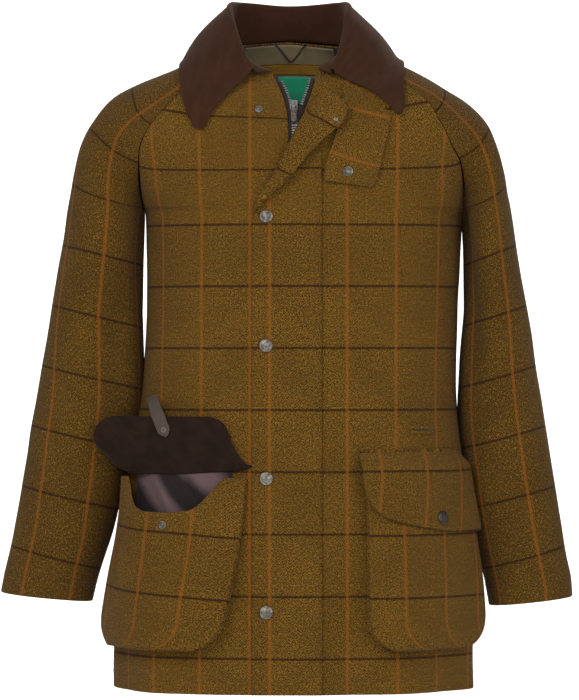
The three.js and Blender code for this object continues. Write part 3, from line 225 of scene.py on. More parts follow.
# sleeves below the armpit: outer x and z, inner x and z, depth
sleeve_rows = {
    "right": [
        (-267, -180, -173, -186, 76), (-272, -217, -174.5, -226, 75),
        (-279, -256, -175.5, -266, 73), (-286, -294, -176, -306, 71),
        (-292, -330, -178.5, -343, 70), (-298, -365, -181, -379, 69),
        (-304, -402, -186, -416, 68), (-310.5, -439, -193, -453, 66),
        (-316, -474, -199, -488, 64), (-322, -509, -206, -523, 62),
        (-328.5, -546, -213, -560, 59), (-335, -582, -223, -596, 57),
        (-341.5, -612, -231, -624, 55), (-346, -636, -237, -647, 54)],
    "left": [
        (266, -178, 207.5, -186, 84), (272, -217, 208.5, -226, 84),
        (278.5, -256, 208.5, -266, 82), (285, -294, 208, -304, 80),
        (291, -330, 206.5, -341, 77), (296, -367, 206, -379, 74),
        (302.5, -405, 206.5, -418, 71), (309, -443, 209, -456, 68),
        (315, -480, 213, -493, 65), (321, -518, 218, -531, 62),
        (326.5, -554, 224, -567, 59), (332, -590, 231, -603, 57),
        (338, -618, 236, -630, 55), (340.5, -641, 240, -652, 54)]}
# pressed folds of the sleeves: row, place across, reach along and across, depth
creases = {
    "sleeve_right_front": [
        (13.2, 0.66, 2.6, 0.1, -7), (10.2, 0.85, 1.3, 0.12, -6), (15.6, 0.35, 0.8, 0.25, -4),
        (17, 0.7, 0.7, 0.22, -4)],
    "sleeve_right_back": [(14, 0.5, 0.8, 0.3, -5), (16, 0.65, 0.8, 0.25, -5)],
    "sleeve_left_front": [
        (12.5, 0.7, 2.4, 0.1, -6), (10, 0.85, 1.3, 0.12, -6), (15.3, 0.4, 0.8, 0.25, -4),
        (17.2, 0.65, 0.7, 0.22, -4)],
    "sleeve_left_back": [(14.2, 0.5, 0.8, 0.3, -5), (16.4, 0.65, 0.8, 0.25, -5)]}


def bezier(start, start_handle, end, end_handle):
    """A cubic curve as 241 points evenly spaced along its length."""
    a, b, c, d = (np.array(v, float) for v in (
        start, np.add(start, start_handle), np.add(end, end_handle), end))
    t = np.linspace(0, 1, 481)[:, None]
    points = a * (1 - t)**3 + 3 * b * t * (1 - t)**2 + 3 * c * t**2 * (1 - t) + d * t**3
    return spaced(points, np.linspace(0, 1, 241))


def spaced(points, parts):
    """Points at parts of the length of a polyline."""
    lengths = np.r_[0, np.cumsum(np.linalg.norm(np.diff(points, axis=0), axis=1))]
    return np.stack([np.interp(np.asarray(parts) * lengths[-1], lengths, points[:, k])
                     for k in range(points.shape[1])], 1)


def raglan_row(side, i, facing):
    """Body curve and sleeve curve of one raglan row, on the front (-1) or the back (1)."""
    ridge_x, ridge_z, seam_x, seam_z, ahead, behind, rise, closed = raglan[side][i]
    front_z, front_depth, back_z, back_depth = chest[i]
    ridge = np.array([ridge_x, 0, ridge_z])
    if facing < 0:
        middle, seam = np.array([0, -front_depth, front_z]), np.array([seam_x, -ahead, seam_z])
    else:
        middle = np.array([girth_rows[0][1] * i / 9, back_depth, back_z])
        seam = np.array([seam_x, behind, seam_z + rise])
    along = unit(ridge - middle)
    on_body = unit(along * (1 - closed) + np.array([0, -facing, 0]) * closed)
    on_sleeve = unit(along * (1 - closed) + np.array([0, facing, 0]) * closed)
    reach, depth = np.linalg.norm(seam - middle), sleeve_rows[side][0][4]
    body = bezier(middle, (0.55 * (seam[0] - middle[0]), 0, 0.3 * (seam[2] - middle[2])),
                  seam, -0.35 * reach * on_body)
    handle = (1 - closed) * 0.55 * abs(seam[1]) + closed * 4 / 3 * depth
    back_handle = (1 - closed) * 0.35 * np.linalg.norm(seam - ridge) + closed * (
        4 / 3 * depth - abs(seam[1]))
    return body, bezier(ridge, (0, facing * handle, 0), seam, back_handle * on_sleeve)


lower_heights = np.linspace(armpit, hem, 14)


def body_row(side, i, facing=-1):
    """Row i of a front (or of half the back), from the middle to the seam, evenly spaced."""
    if i < 9:
        return raglan_row(side, i, facing)[0]
    z = lower_heights[i - 9]
    left, right = girth(z)[3:]
    return around(z, np.linspace(0, left if side == "left" else right, 241))


def back_row(i):
    if i < 9:
        left, right = raglan_row("left", i, 1)[0], raglan_row("right", i, 1)[0]
        return spaced(np.r_[left[::-1], right[1:]], np.linspace(0, 1, 481))
    z = lower_heights[i - 9]
    total, left, right = girth(z)[2:]
    return around(z, np.linspace(left, right + total, 481))


def sleeve_row(side, i, facing):
    if i < 9:
        points = raglan_row(side, i, facing)[1]
    else:
        outer_x, outer_z, inner_x, inner_z, depth = sleeve_rows[side][i - 9]
        handle = (0, facing * 4 / 3 * depth, 0)
        points = bezier((outer_x, 0, outer_z), handle, (inner_x, 0, inner_z), handle)
    ahead = np.gradient(points, axis=0)
    outward = unit(np.cross(np.cross([0, facing, 0], ahead), ahead))
    outward *= np.where(outward[:, 1] * facing < 0, -1, 1)[:, None]
    u = np.linspace(0, 1, len(points))
    name = f"sleeve_{side}_{'front' if facing < 0 else 'back'}"
    fold = sum(depth * np.exp(-((i - row) / long) ** 2 - ((u - across) / wide) ** 2)
               for row, across, long, wide, depth in creases[name])
    return points + outward * (fold * smooth(0, 0.15, u) * smooth(0, 0.15, 1 - u))[:, None]


def normals_of(grid):
    across, down = np.gradient(grid, axis=1), np.gradient(grid, axis=0)
    return unit(np.cross(across, down))


def facing_out(grid, row, column, middle):
    """The ways a grid faces, turned so that one place of it looks away from a middle."""
    normals = normals_of(grid)
    return normals * np.sign((normals[row, column] * (grid[row, column] - middle)).sum())


def ripple(points):
    """How far the cloth stands out or in at each point: slow waves and smaller unevenness."""
    flat = points.reshape(-1, 3)
    out = np.empty(len(flat))
    for k, (x, y, z) in enumerate(flat):
        slow = noise.noise(Vector((x / 85, y / 85, z / 150 + 7)))
        quick = noise.noise(Vector((x / 34 + 5, y / 34, z / 46)))
        out[k] = 1.9 * slow + 0.6 * quick
    return out.reshape(points.shape[:-1])


def edge_parts(length, count, near=(0, 0.5, 1.1, 1.8, 3.5)):
    """Parts from 0 to 1 of a length in mm, close together near both edges."""
    near = np.array(near) / length
    return np.r_[near[:-1], np.linspace(near[-1], 1 - near[-1], count), 1 - near[-2::-1]]


def rolled_edges(grid, normals, radius=1.6, sides="udlr"):
    """Turns the edges of a grid inwards, as a seam or a turned hem does."""
    down = np.r_[np.zeros((1, grid.shape[1])),
                 np.cumsum(np.linalg.norm(np.diff(grid, axis=0), axis=2), axis=0)]
    across = np.c_[np.zeros(len(grid)),
                   np.cumsum(np.linalg.norm(np.diff(grid, axis=1), axis=2), axis=1)]
    drop = np.zeros(grid.shape[:2])
    for side, far in (("u", down), ("d", down[-1] - down), ("l", across),
                      ("r", across[:, -1:] - across)):
        if side in sides:
            part = 1 - np.clip(far / radius, 0, 1)
            drop = np.maximum(drop, radius * (1 - np.sqrt(1 - part**2)))
    return grid - normals * drop[..., None]


def lay_out(name, grid, uv, materials, thickness, inside, rim=0):
    """A wall of cloth from a grid in mm: its outer face is the grid, its lining lies inside."""
    rows, columns = grid.shape[:2]
    mesh = bmesh.new()
    bmesh.ops.create_grid(mesh, x_segments=columns - 1, y_segments=rows - 1, size=0.5)
    mesh.verts.ensure_lookup_table()
    place = {}
    for vert in mesh.verts:
        place[vert.index] = (round((vert.co.y + 0.5) * (rows - 1)),
                             round((vert.co.x + 0.5) * (columns - 1)))
    layer = mesh.loops.layers.uv.new("cloth")
    for face in mesh.faces:
        for loop in face.loops:
            a, b = place[loop.vert.index]
            loop[layer].uv = uv[a, b] / 1000
    for vert in mesh.verts:
        a, b = place[vert.index]
        vert.co = grid[a, b] / 1000
    middle = grid[rows // 2, columns // 2]
    normal = normals_of(grid)[rows // 2, columns // 2]
    outwards = np.dot(normal, middle - np.array(inside)) > 0
    mesh.normal_update()
    face = min(mesh.faces, key=lambda f: (f.calc_center_median() - Vector(middle / 1000)).length)
    if face.normal.dot(Vector(normal)) * (1 if outwards else -1) < 0:
        bmesh.ops.reverse_faces(mesh, faces=mesh.faces)
    data = bpy.data.meshes.new(name)
    mesh.to_mesh(data)
    mesh.free()
    data.shade_smooth()
    piece = bpy.data.objects.new(name, data)
    bpy.context.scene.collection.objects.link(piece)
    for material in materials:
        data.materials.append(material)
    wall = piece.modifiers.new("wall", "SOLIDIFY")
    wall.thickness = thickness / 1000
    wall.offset = -1
    wall.material_offset = len(materials) - 1
    wall.material_offset_rim = rim
    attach(piece, "coat")
    return piece


# Tweed
# Woollen cloth in a small olive herringbone with coloured flecks. A check of dark brown
# lines across and rust lines down is woven into it.
def linear(red, green, blue):
    return tuple(((c / 255 + 0.055) / 1.055) ** 2.4 if c > 10 else c / 3294.6
                 for c in (red, green, blue)) + (1,)


class Nodes:
    """The node tree of one material, with short ways to add to it."""

    def __init__(self, name, material=None):
        self.material = material or bpy.data.materials.new(name)
        self.material.name = name
        self.material.use_nodes = True
        self.tree = self.material.node_tree
        self.shader = self.tree.nodes["Principled BSDF"]

    def add(self, kind, inputs=(), **settings):
        node = self.tree.nodes.new("ShaderNode" + kind)
        for key, value in settings.items():
            setattr(node, key, value)
        for key, value in dict(inputs).items():
            self.feed(node.inputs[key], value)
        return node

    def feed(self, socket, value):
        if isinstance(value, bpy.types.NodeSocket):
            self.tree.links.new(value, socket)
        else:
            socket.default_value = value

    def cloth_place(self):
        """The place on the flat cloth, in millimetres."""
        cloth_uv = self.add("UVMap", uv_map="cloth").outputs[0]
        return self.add("VectorMath", {0: cloth_uv, "Scale": 1000.0}, operation="SCALE").outputs[0]

    def maths(self, operation, *values):
        return self.add("Math", dict(enumerate(values)), operation=operation).outputs[0]

    def mix(self, part, first, second, blend="MIX"):
        node = self.tree.nodes.new("ShaderNodeMix")
        node.data_type, node.blend_type = "RGBA", blend
        for socket, value in zip((node.inputs[0], node.inputs[6], node.inputs[7]),
                                 (part, first, second)):
            self.feed(socket, value)
        return node.outputs[2]

    def ramp(self, value, low, high, first=0.0, last=1.0):
        return self.add("MapRange", {"Value": value, "From Min": low, "From Max": high,
                                     "To Min": first, "To Max": last},
                        interpolation_type="SMOOTHSTEP").outputs[0]

    def noise(self, vector, scale, detail=2.0, rough=0.5):
        return self.add("TexNoise", {"Vector": vector, "Scale": scale, "Detail": detail,
                                     "Roughness": rough}).outputs["Fac"]

    def bump(self, height, strength, distance):
        node = self.add("Bump", {"Height": height, "Strength": strength, "Distance": distance})
        self.feed(self.shader.inputs["Normal"], node.outputs[0])


# spacing of the rust lines across the cloth and of the brown lines down it
check_wide, check_high = 60.0, 72.8


def tweed(name, tone=1.0):
    m = Nodes(name)
    mm = m.cloth_place()
    parts = m.add("SeparateXYZ", {0: mm}).outputs
    u, v = parts[0], parts[1]
    zig = m.maths("PINGPONG", u, 7.5)
    wander = m.maths("MULTIPLY", m.noise(mm, 0.35), 2.2)
    twill = m.maths("SINE", m.maths("MULTIPLY", m.maths("ADD", m.maths("ADD", v, zig), wander),
                                    2 * math.pi / 3.3))
    wool = m.noise(mm, 0.62, 3.0, 0.75)
    fleck = m.noise(m.add("VectorMath", {0: mm, 1: (1.0, 0.55, 1.0)},
                          operation="MULTIPLY").outputs[0], 0.62, 1.0)
    tint = m.noise(m.add("VectorMath", {0: mm, 1: (71.0, 13.0, 0.0)},
                         operation="ADD").outputs[0], 0.5, 1.0)
    slow = m.noise(mm, 0.012, 2.0)
    # tone scales the colours of the cloth: a copy below one is painted shade, a copy above one is
    # painted light
    dark = tuple(c * tone for c in linear(50, 33, 9)[:3]) + (1,)
    light = tuple(c * tone for c in linear(134, 98, 30)[:3]) + (1,)
    mixed = m.maths("ADD", m.maths("MULTIPLY", twill, 0.24), m.ramp(wool, 0.36, 0.64))
    colour = m.mix(m.ramp(mixed, 0.0, 1.0), dark, light)
    colour = m.mix(m.ramp(fleck, 0.58, 0.66, 0, 0.6), colour, linear(168, 118, 36))
    colour = m.mix(m.ramp(tint, 0.6, 0.68, 0, 0.6), colour, linear(66, 72, 26))
    colour = m.mix(m.ramp(tint, 0.4, 0.32, 0, 0.55), colour, linear(120, 62, 18))
    colour = m.mix(m.ramp(slow, 0.3, 0.7, 0.0, 0.22), colour, dark)
    worn = m.ramp(wool, 0.25, 0.55, 0.55, 1.0)
    brown = m.maths("MULTIPLY", m.ramp(m.maths("PINGPONG", v, check_high / 2), 0.7, 2.0, 0.85, 0), worn)
    rust = m.maths("MULTIPLY", m.ramp(m.maths("PINGPONG", u, check_wide / 2), 0.6, 3.0, 0.46, 0), worn)
    colour = m.mix(brown, colour, linear(46, 20, 8))
    colour = m.mix(rust, colour, linear(164, 92, 24))
    m.feed(m.shader.inputs["Base Color"], colour)
    m.shader.inputs["Roughness"].default_value = 0.95
    m.shader.inputs["Sheen Weight"].default_value = 0.03
    m.shader.inputs["Sheen Roughness"].default_value = 0.6
    m.shader.inputs["Specular IOR Level"].default_value = 0.15
    height = m.maths("ADD", m.maths("MULTIPLY", twill, 0.5), wool)
    m.bump(height, 0.5, 0.0007)
    return m.material


tweed_cloth = tweed("tweed")
# A darker copy of the tweed for the sleeves: painted shade on the sleeves.
sleeve_tweed = tweed("sleeve_tweed", tone=0.74)


# Satin lining
# Greyish pink satin lines the body and sleeves. It is sewn in at the hem and the cuffs,
# and it shows on the inner face of each panel.
def lining(name, colour, shine, rib=0.9):
    m = Nodes(name)
    mm = m.cloth_place()
    parts = m.add("SeparateXYZ", {0: mm}).outputs
    thread = m.maths("SINE", m.maths("MULTIPLY", m.maths("ADD", parts[0], parts[1]),
                                     2 * math.pi / rib))
    slow = m.noise(mm, 0.03, 2.0)
    darker = tuple(c * 0.62 for c in colour[:3]) + (1,)
    shade = m.mix(m.ramp(slow, 0.3, 0.7, 0.0, 0.5), colour, darker)
    shade = m.mix(m.ramp(thread, -1.0, 1.0, 0.0, 0.25), shade, darker)
    m.feed(m.shader.inputs["Base Color"], shade)
    m.shader.inputs["Roughness"].default_value = shine
    m.shader.inputs["Sheen Weight"].default_value = 0.15
    m.bump(m.maths("ADD", thread, m.noise(mm, 0.2)), 0.2, 0.0004)
    return m.material


satin = lining("satin", linear(112, 88, 88), 0.45)

# Fronts, back and sleeves
# Two fronts, one whole back and two-piece raglan sleeves, cut from tweed so that the lines
# of the check run on from piece to piece. They are seamed on the wrong side and pressed,
# so that each edge rolls inwards.
body_middle = (8, 0, -420)
zip_edges = {
    "right": np.array([(-749, -0.8), (-96, -0.8), (-76, -0.8), (-52, -4), (-34, -10), (-20, -19)]),
    "left": np.array([(-749, 10.8), (-96, 10.8), (-76, 11.5), (-52, 20), (-34, 27), (-20, 32)])}
half_gap, row_steps, rows_count, top_z = 0.15, 7, 23, -20


def row_places(top_spacing=20, low_spacing=43):
    """Places down the rows, with more of them near the neck and the hem; spacings are in mm."""
    places = np.linspace(0, rows_count - 1, (rows_count - 1) * row_steps + 1)
    near = np.array([0.5, 1.1, 1.8])
    return np.unique(np.r_[places, near / top_spacing, rows_count - 1 - near / low_spacing])


def rows_at(grid, places):
    i = np.minimum(places.astype(int), len(grid) - 2)
    return hermite((places - i)[:, None, None], i, grid, np.gradient(grid, axis=0))


def seam_parts(row, first, last, parts):
    return spaced(row, first + (last - first) * parts)


def crossing(row, x):
    """Part of a row's first half where it passes a given x."""
    half = row[: len(row) // 2]
    away = math.copysign(1, row[len(row) // 2][0])
    if away * x < 0:
        return 0.0
    return float(np.interp(away * x, away * half[:, 0], np.linspace(0, 0.5, len(half))))


places = row_places()
panels = {}
for side in ("right", "left"):
    edge = zip_edges[side]
    parts = edge_parts(270, 44)
    rows = []
    for i in range(rows_count):
        row = body_row(side, i)
        length = np.linalg.norm(np.diff(row, axis=0), axis=1).sum()
        first = crossing(row, float(read(edge, 1, min(row[0][2], top_z))))
        rows.append(seam_parts(row, first, 1 - half_gap / length, parts))
    panels["front_" + side] = rows_at(np.array(rows), places)
parts = edge_parts(560, 88)
rows = []
for i in range(rows_count):
    row = back_row(i)
    length = np.linalg.norm(np.diff(row, axis=0), axis=1).sum()
    rows.append(seam_parts(row, half_gap / length, 1 - half_gap / length, parts))
panels["back"] = rows_at(np.array(rows), places)
for side in ("right", "left"):
    for facing, word in ((-1, "front"), (1, "back")):
        parts = edge_parts(190, 34)
        rows = []
        for i in range(rows_count):
            row = sleeve_row(side, i, facing)
            length = np.linalg.norm(np.diff(row, axis=0), axis=1).sum()
            rows.append(seam_parts(row, half_gap / length, 1 - half_gap / length, parts))
        grid = rows_at(np.array(rows), places)
        part = (grid[..., 0] - grid[:, :1, 0]) / (grid[:, -1:, 0] - grid[:, :1, 0])
        fuller = np.interp(-grid[:, :1, 2], (290, 405, 480, 550, 610), {
            "right": (0, 10.5, 7, 3, 0), "left": (0, -5.5, -6, -4.5, 0)}[side])
        grid[..., 0] += fuller * smooth(0.45, 1, part)
        panels[f"sleeve_{side}_{word}"] = grid

# where one rust line runs: its x on each front, and its part of each sleeve's width by z
check_x = {"front_right": -46.5, "front_left": 67.6}
sleeve_line = {
    "right": np.array([(-640, 0.77), (-566, 0.736), (-406, 0.605), (-299, 0.54), (-165, 0.55),
                       (20, 0.5)]),
    "left": np.array([(-640, 0.34), (-431, 0.34), (-165, 0.34), (20, 0.34)])}
# z of one brown line on the body and on the sleeves
first_line = {"body": -198.5, "sleeve": -220.8}


def lengths_along(grid, axis):
    step = np.linalg.norm(np.diff(grid, axis=axis), axis=2)
    zero = np.zeros_like(np.take(step, [0], axis=axis))
    return np.concatenate([zero, np.cumsum(step, axis=axis)], axis=axis)


def check_map(name, grid):
    """Where the check falls on a panel: lines lie at multiples of its two spacings."""
    across = lengths_along(grid, 1)
    uv = np.zeros(grid.shape[:2] + (2,))
    if name.startswith("sleeve"):
        side, facing = name.split("_")[1:]
        outer, inner = grid[:, :1, 0], grid[:, -1:, 0]
        part = (grid[..., 0] - outer) / (inner - outer)
        down = lengths_along(grid, 0)[:, 0]
        down -= np.interp(-first_line["sleeve"], -grid[:, 0, 2], down)
        uv[..., 1] = -(down[:, None] - 15 * np.clip(part, 0, 1))
        for a in range(len(grid)):
            at = np.interp(grid[a, 0, 2], sleeve_line[side][:, 0], sleeve_line[side][:, 1])
            line = np.interp(at, np.maximum.accumulate(part[a]), across[a])
            uv[a, :, 0] = (across[a] - line) if facing == "front" else (across[a] + line)
    else:
        column = 14 if name != "back" else grid.shape[1] // 2
        down = lengths_along(grid, 0)[:, column]
        down -= np.interp(-first_line["body"], -grid[:, column, 2], down)
        if name != "back":
            down = np.interp(down, (-200, -138.3, -72.2, 0, 900), (-214, -145.6, -72.8, 0, 900))
        uv[..., 1] = -down[:, None]
        x = grid[..., 0]
        for a in range(len(grid)):
            if name == "back":
                line = across[a][grid.shape[1] // 2]
            else:
                order = np.argsort(x[a, :45])
                line = np.interp(check_x[name], x[a, :45][order], across[a, :45][order])
            uv[a, :, 0] = across[a] - line
    return uv


skin_parts = []
for side in ("right", "left"):
    strip = []
    for i in range(rows_count):
        row = body_row(side, i)
        first = crossing(row, float(read(zip_edges[side], 1, min(row[0][2], top_z))))
        strip.append(spaced(row, np.linspace(0, first + 0.004, 8)))
    strip = rows_at(np.array(strip), places)
    normals = normals_of(strip)
    normals *= np.sign((normals * (strip - np.array(body_middle, float))).sum(2).mean())
    skin_parts.append(strip + normals * ripple(strip)[..., None])
for name, grid in panels.items():
    normals = normals_of(grid)
    centre = grid.mean(axis=(0, 1)) if name.startswith("sleeve") else np.array(body_middle, float)
    if name.startswith("sleeve"):
        side = name.split("_")[1]
        twin = panels[f"sleeve_{side}_back"], panels[f"sleeve_{side}_front"]
        centre = (twin[0].mean(axis=(0, 1)) + twin[1].mean(axis=(0, 1))) / 2
    facing = np.sign((normals * (grid - centre)).sum(2).mean())
    normals = normals * facing
    grid = grid + normals * ripple(grid)[..., None]
    panels[name] = grid
    if name != "back":
        skin_parts.append(grid)
    # The sleeves take the darker copy of the tweed, which is painted shade.
    cloth = sleeve_tweed if name.startswith("sleeve") else tweed_cloth
    piece = lay_out(name + "_cloth", rolled_edges(grid, normals), check_map(name, grid),
                    [cloth, satin], 2.0, centre)
    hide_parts(name)

skin_points, skin_faces = [], []
for grid in [*skin_parts, panels["back"]]:
    start, (rows, columns) = len(skin_points), grid.shape[:2]
    skin_points += [tuple(p) for p in grid.reshape(-1, 3)]
    skin_faces += [(start + a * columns + b, start + (a + 1) * columns + b,
                    start + (a + 1) * columns + b + 1, start + a * columns + b + 1)
                   for a in range(rows - 1) for b in range(columns - 1)]
skin = BVHTree.FromPolygons(skin_points, skin_faces)


def on_front(x, z, offset=0.0):
    """The point of the front seen at a place, moved out of the cloth, and the way it faces."""
    hit, normal = skin.ray_cast(Vector((x, -600, z)), Vector((0, 1, 0)))[:2]
    if normal.y > 0:
        normal = -normal
    return np.array(hit + normal * offset), np.array(normal)


# Collar
# Dark brown moleskin, a cotton cloth with a short brushed nap. One folded piece is sewn
# into the neck seam, stands up to the roll and falls over the shoulders.
def napped(name, colour, shade=0.55, pile=1.0):
    m = Nodes(name)
    mm = m.cloth_place()
    brushed = m.noise(mm, 0.045, 4.0, 0.6)
    fine = m.noise(mm, 1.6, 2.0, 0.7)
    darker = tuple(c * shade for c in colour[:3]) + (1,)
    lighter = tuple(min(1, c * 1.12) for c in colour[:3]) + (1,)
    tone = m.mix(m.ramp(brushed, 0.3, 0.7), darker, lighter)
    tone = m.mix(m.ramp(fine, 0.35, 0.75, 0.0, 0.45), tone, darker)
    m.feed(m.shader.inputs["Base Color"], tone)
    m.shader.inputs["Roughness"].default_value = 0.92
    m.shader.inputs["Specular IOR Level"].default_value = 0.12
    m.shader.inputs["Sheen Weight"].default_value = 0.16 * pile
    m.shader.inputs["Sheen Roughness"].default_value = 0.45
    m.shader.inputs["Sheen Tint"].default_value = (0.75, 0.6, 0.5, 1)
    m.bump(m.maths("ADD", fine, m.maths("MULTIPLY", brushed, 2.0)), 0.35, 0.0006)
    return m.material


moleskin = napped("moleskin", linear(66, 40, 26), 0.8)

# place along the neckline, top of the roll there, outer edge of the fall
collar_rows = np.array([
    (0, -43, -76, -7, -101, -106, -80), (0.06, -54, -68, 10, -112, -104, -78),
    (0.12, -64, -52, 33, -122, -94, -58), (0.18, -70, -28, 57, -128, -66, -30),
    (0.25, -71, 2, 71, -129, -10, 0), (0.35, -57, 37, 74, -106, 66, 0),
    (0.5, 0, 54, 71, 0, 92, -8), (0.65, 57, 37, 74, 108, 66, 0), (0.75, 70, 2, 71, 131, -10, 0),
    (0.82, 69, -28, 57, 133, -64, -28), (0.88, 66, -50, 33, 133, -86, -50),
    (0.94, 60, -66, 12, 131, -92, -62), (1, 50, -76, -7, 126, -96, -65)])
collar_roll, collar_lift = 4.5, 6.0


def neck_part(row, first, last):
    return spaced(row, np.linspace(first, last, 40))[:-1]


right_neck, left_neck = body_row("right", 0), body_row("left", 0)
neckline = np.concatenate([
    neck_part(right_neck, crossing(right_neck, -19), 1),
    neck_part(sleeve_row("right", 0, -1), 1, 0), neck_part(sleeve_row("right", 0, 1), 0, 1),
    neck_part(back_row(0), 1, 0),
    neck_part(sleeve_row("left", 0, 1), 1, 0), neck_part(sleeve_row("left", 0, -1), 0, 1),
    neck_part(left_neck, 1, crossing(left_neck, 32))])


def body_core(point):
    reach = float(np.clip(point[0], -200, 200))
    return np.array([0.8 * reach, 0, min(point[2] - 30, -60 - 0.2 * abs(reach))])


def clear_of(point, gap):
    """A point moved out of the coat's cloth until it stands a gap away from it."""
    for _ in range(3):
        foot, normal = (np.array(v) for v in skin.find_nearest(Vector(point))[:2])
        if normal @ (foot - body_core(foot)) < 0:
            normal = -normal
        signed = normal @ (point - foot)
        if signed >= gap:
            break
        point = point + normal * (gap - signed)
    return point


collar_grid = []
for at in np.r_[0, 0.0015, 0.003, np.linspace(0.008, 0.992, 105), 0.997, 0.9985, 1]:
    roll_x, roll_y, roll_z, edge_x, edge_y, edge_z = (
        float(read(collar_rows, c, at)) for c in range(1, 7))
    front_way = float(smooth(0.3, 0.45, abs(at - 0.5)))
    foot = spaced(neckline, [at])[0] + (0, -2 * front_way, 0.8 + 3 * front_way)
    roll, edge = np.array([roll_x, roll_y, roll_z]), np.array([edge_x, edge_y, edge_z])
    outward = unit(np.array([edge_x - roll_x, edge_y - roll_y, 0]))
    rolled = []
    for degrees in np.linspace(-90, 90, 13):
        turn = math.radians(degrees)
        rolled.append(roll - (0, 0, collar_roll) + outward * collar_roll * math.sin(turn)
                      + np.array([0, 0, collar_roll * math.cos(turn)]))
    line = [foot + (rolled[0] - foot) * k / 12 for k in range(12)] + rolled
    for part in (*np.linspace(0.04, 0.96, 22), 0.975, 0.99, 1):
        fallen = rolled[-1] + (edge - rolled[-1]) * part
        fallen = fallen + outward * (7 * math.sin(math.pi * part))
        line.append(clear_of(fallen, 3 + (collar_lift - 3) * min(2 * part, 1)))
    collar_grid.append(line)
collar_grid = np.array(collar_grid)
for _ in range(3):
    collar_grid[1:-1, 26:] = (collar_grid[:-2, 26:] + 2 * collar_grid[1:-1, 26:]
                              + collar_grid[2:, 26:]) / 4
collar_normals = facing_out(collar_grid, 54, -4, (0, 60, 35))
collar_grid = collar_grid + collar_normals * (0.5 * ripple(collar_grid * 1.6))[..., None]
collar_shape = rolled_edges(collar_grid, collar_normals, 1.2, "udr")
collar = lay_out("collar_fold", collar_shape, np.stack(
    [lengths_along(collar_grid, 0), lengths_along(collar_grid, 1)], 2), [moleskin], 2.0, (0, 75, 35))
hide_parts("collar")

# Inside the back of the neck
# A khaki cotton band, a narrow tweed facing and the pink lining lie one above the other.
# A bare green woven label is sewn on below the facing, and a twisted cord, caught at both
# ends, makes the hanger loop.
label_cloth = lining("label_cloth", linear(38, 200, 146), 0.5, 1.1)
back = panels["back"]
back_middle = back.shape[1] // 2
back_lengths = lengths_along(back, 1)


def inside_back(name, node, cloths, top, bottom, half_width, depth, centre=0.0, thickness=1.2,
                rows=12, columns=44):
    """A band on the inner face of the back; depth is how far in its seen face lies."""
    grid = []
    for z in np.linspace(top, bottom, rows):
        heights = back[:60, back_middle, 2]
        place = np.interp(-z, -heights, np.arange(60))
        line = []
        for x in np.linspace(-half_width, half_width, columns) + centre:
            ends = []
            for a in (int(place), int(place) + 1):
                at = back_lengths[a, back_middle] - x
                ends.append([np.interp(at, back_lengths[a], back[a, :, k]) for k in range(3)])
            line.append(np.array(ends[0]) + (np.array(ends[1]) - ends[0]) * (place - int(place)))
        grid.append(line)
    grid = np.array(grid)
    normals = normals_of(grid)
    normals *= np.where(normals[..., 1] < 0, -1, 1)[..., None]
    grid = grid - normals * depth
    uv = np.stack([lengths_along(grid, 1) - half_width, -lengths_along(grid, 0)], 2)
    piece = lay_out(name, grid, uv + (9.0, 20.0), cloths, thickness, (0, 400, -60))
    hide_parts(node)
    return grid


khaki = lining("khaki_lining", linear(150, 132, 96), 0.85, 1.6)
neck_grid = inside_back("neck_lining_cloth", "neck_lining", [khaki], 26, 3, 56, 3.6)
# The facing is a copy of the tweed three times as bright: painted light where the inside of the neck
# lies in shade.
facing_tweed = tweed("facing_tweed", tone=3.0)
inside_back("neck_facing_cloth", "neck_facing", [facing_tweed], 2.6, -9, 60, 3.6)
inside_back("back_lining_cloth", "back_lining", [satin], -10, -100, 82, 3.6, rows=40)
label_grid = inside_back("label_plain", "label", [label_cloth], -11, -44, 23, 5.2, 6.0, 0.6)

hanger_path = spaced(np.array([
    (-17, 58.2, 26), (-15.4, 58.0, 22.5), (-12, 58, 19), (-8.6, 58.1, 14.5), (-5, 58.4, 10),
    (-1.4, 58.8, 5.6), (0.4, 59, 4.2), (2, 59, 3.6), (3.8, 59, 4.4), (5.6, 58.8, 6), (9, 58.4, 10),
    (12.4, 58.1, 14.6), (15, 58, 19), (17.8, 58.1, 22.6), (19, 58.2, 26)], float),
    np.linspace(0, 1, 90))


def as_piece(name, mesh, material, body="coat", rounded=True):
    data = bpy.data.meshes.new(name)
    mesh.to_mesh(data)
    mesh.free()
    if rounded:
        data.shade_smooth()
    piece = bpy.data.objects.new(name, data)
    bpy.context.scene.collection.objects.link(piece)
    data.materials.append(material)
    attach(piece, body)
    return piece


def join_rings(mesh, rings):
    """Closed walls from ring to ring, with a cap on the first and the last."""
    for first, second in zip(rings, rings[1:]):
        for j in range(len(first)):
            after = (j + 1) % len(first)
            mesh.faces.new((first[j], first[after], second[after], second[j]))
    mesh.faces.new(rings[0][::-1])
    mesh.faces.new(rings[-1])


def tube(name, path, radius, material, sides=10, twist=0.0, lobes=0.0):
    """A closed tube round a path in mm; lobes give it the strands of a twisted cord."""
    ahead = unit(np.gradient(path, axis=0))
    side = unit(np.cross(ahead, (0.03, 1, 0.02)))
    upper = np.cross(side, ahead)
    mesh = bmesh.new()
    rings = []
    lengths = lengths_along(path[None], 1)[0]
    for k, point in enumerate(path):
        ring = []
        for j in range(sides):
            angle = 2 * math.pi * j / sides
            grown = radius * (1 + lobes * math.cos(2 * angle + twist * lengths[k]))
            spot = point + grown * (side[k] * math.cos(angle) + upper[k] * math.sin(angle))
            ring.append(mesh.verts.new(spot / 1000))
        rings.append(ring)
    join_rings(mesh, rings)
    bmesh.ops.recalc_face_normals(mesh, faces=mesh.faces)
    return as_piece(name, mesh, material)


def thread(name, colour):
    m = Nodes(name)
    place = m.add("TexCoord").outputs["Object"]
    m.feed(m.shader.inputs["Base Color"], m.mix(m.noise(place, 900.0), colour, tuple(
        0.6 * c for c in colour[:3]) + (1,)))
    m.shader.inputs["Roughness"].default_value = 0.75
    m.shader.inputs["Sheen Weight"].default_value = 0.2
    return m.material


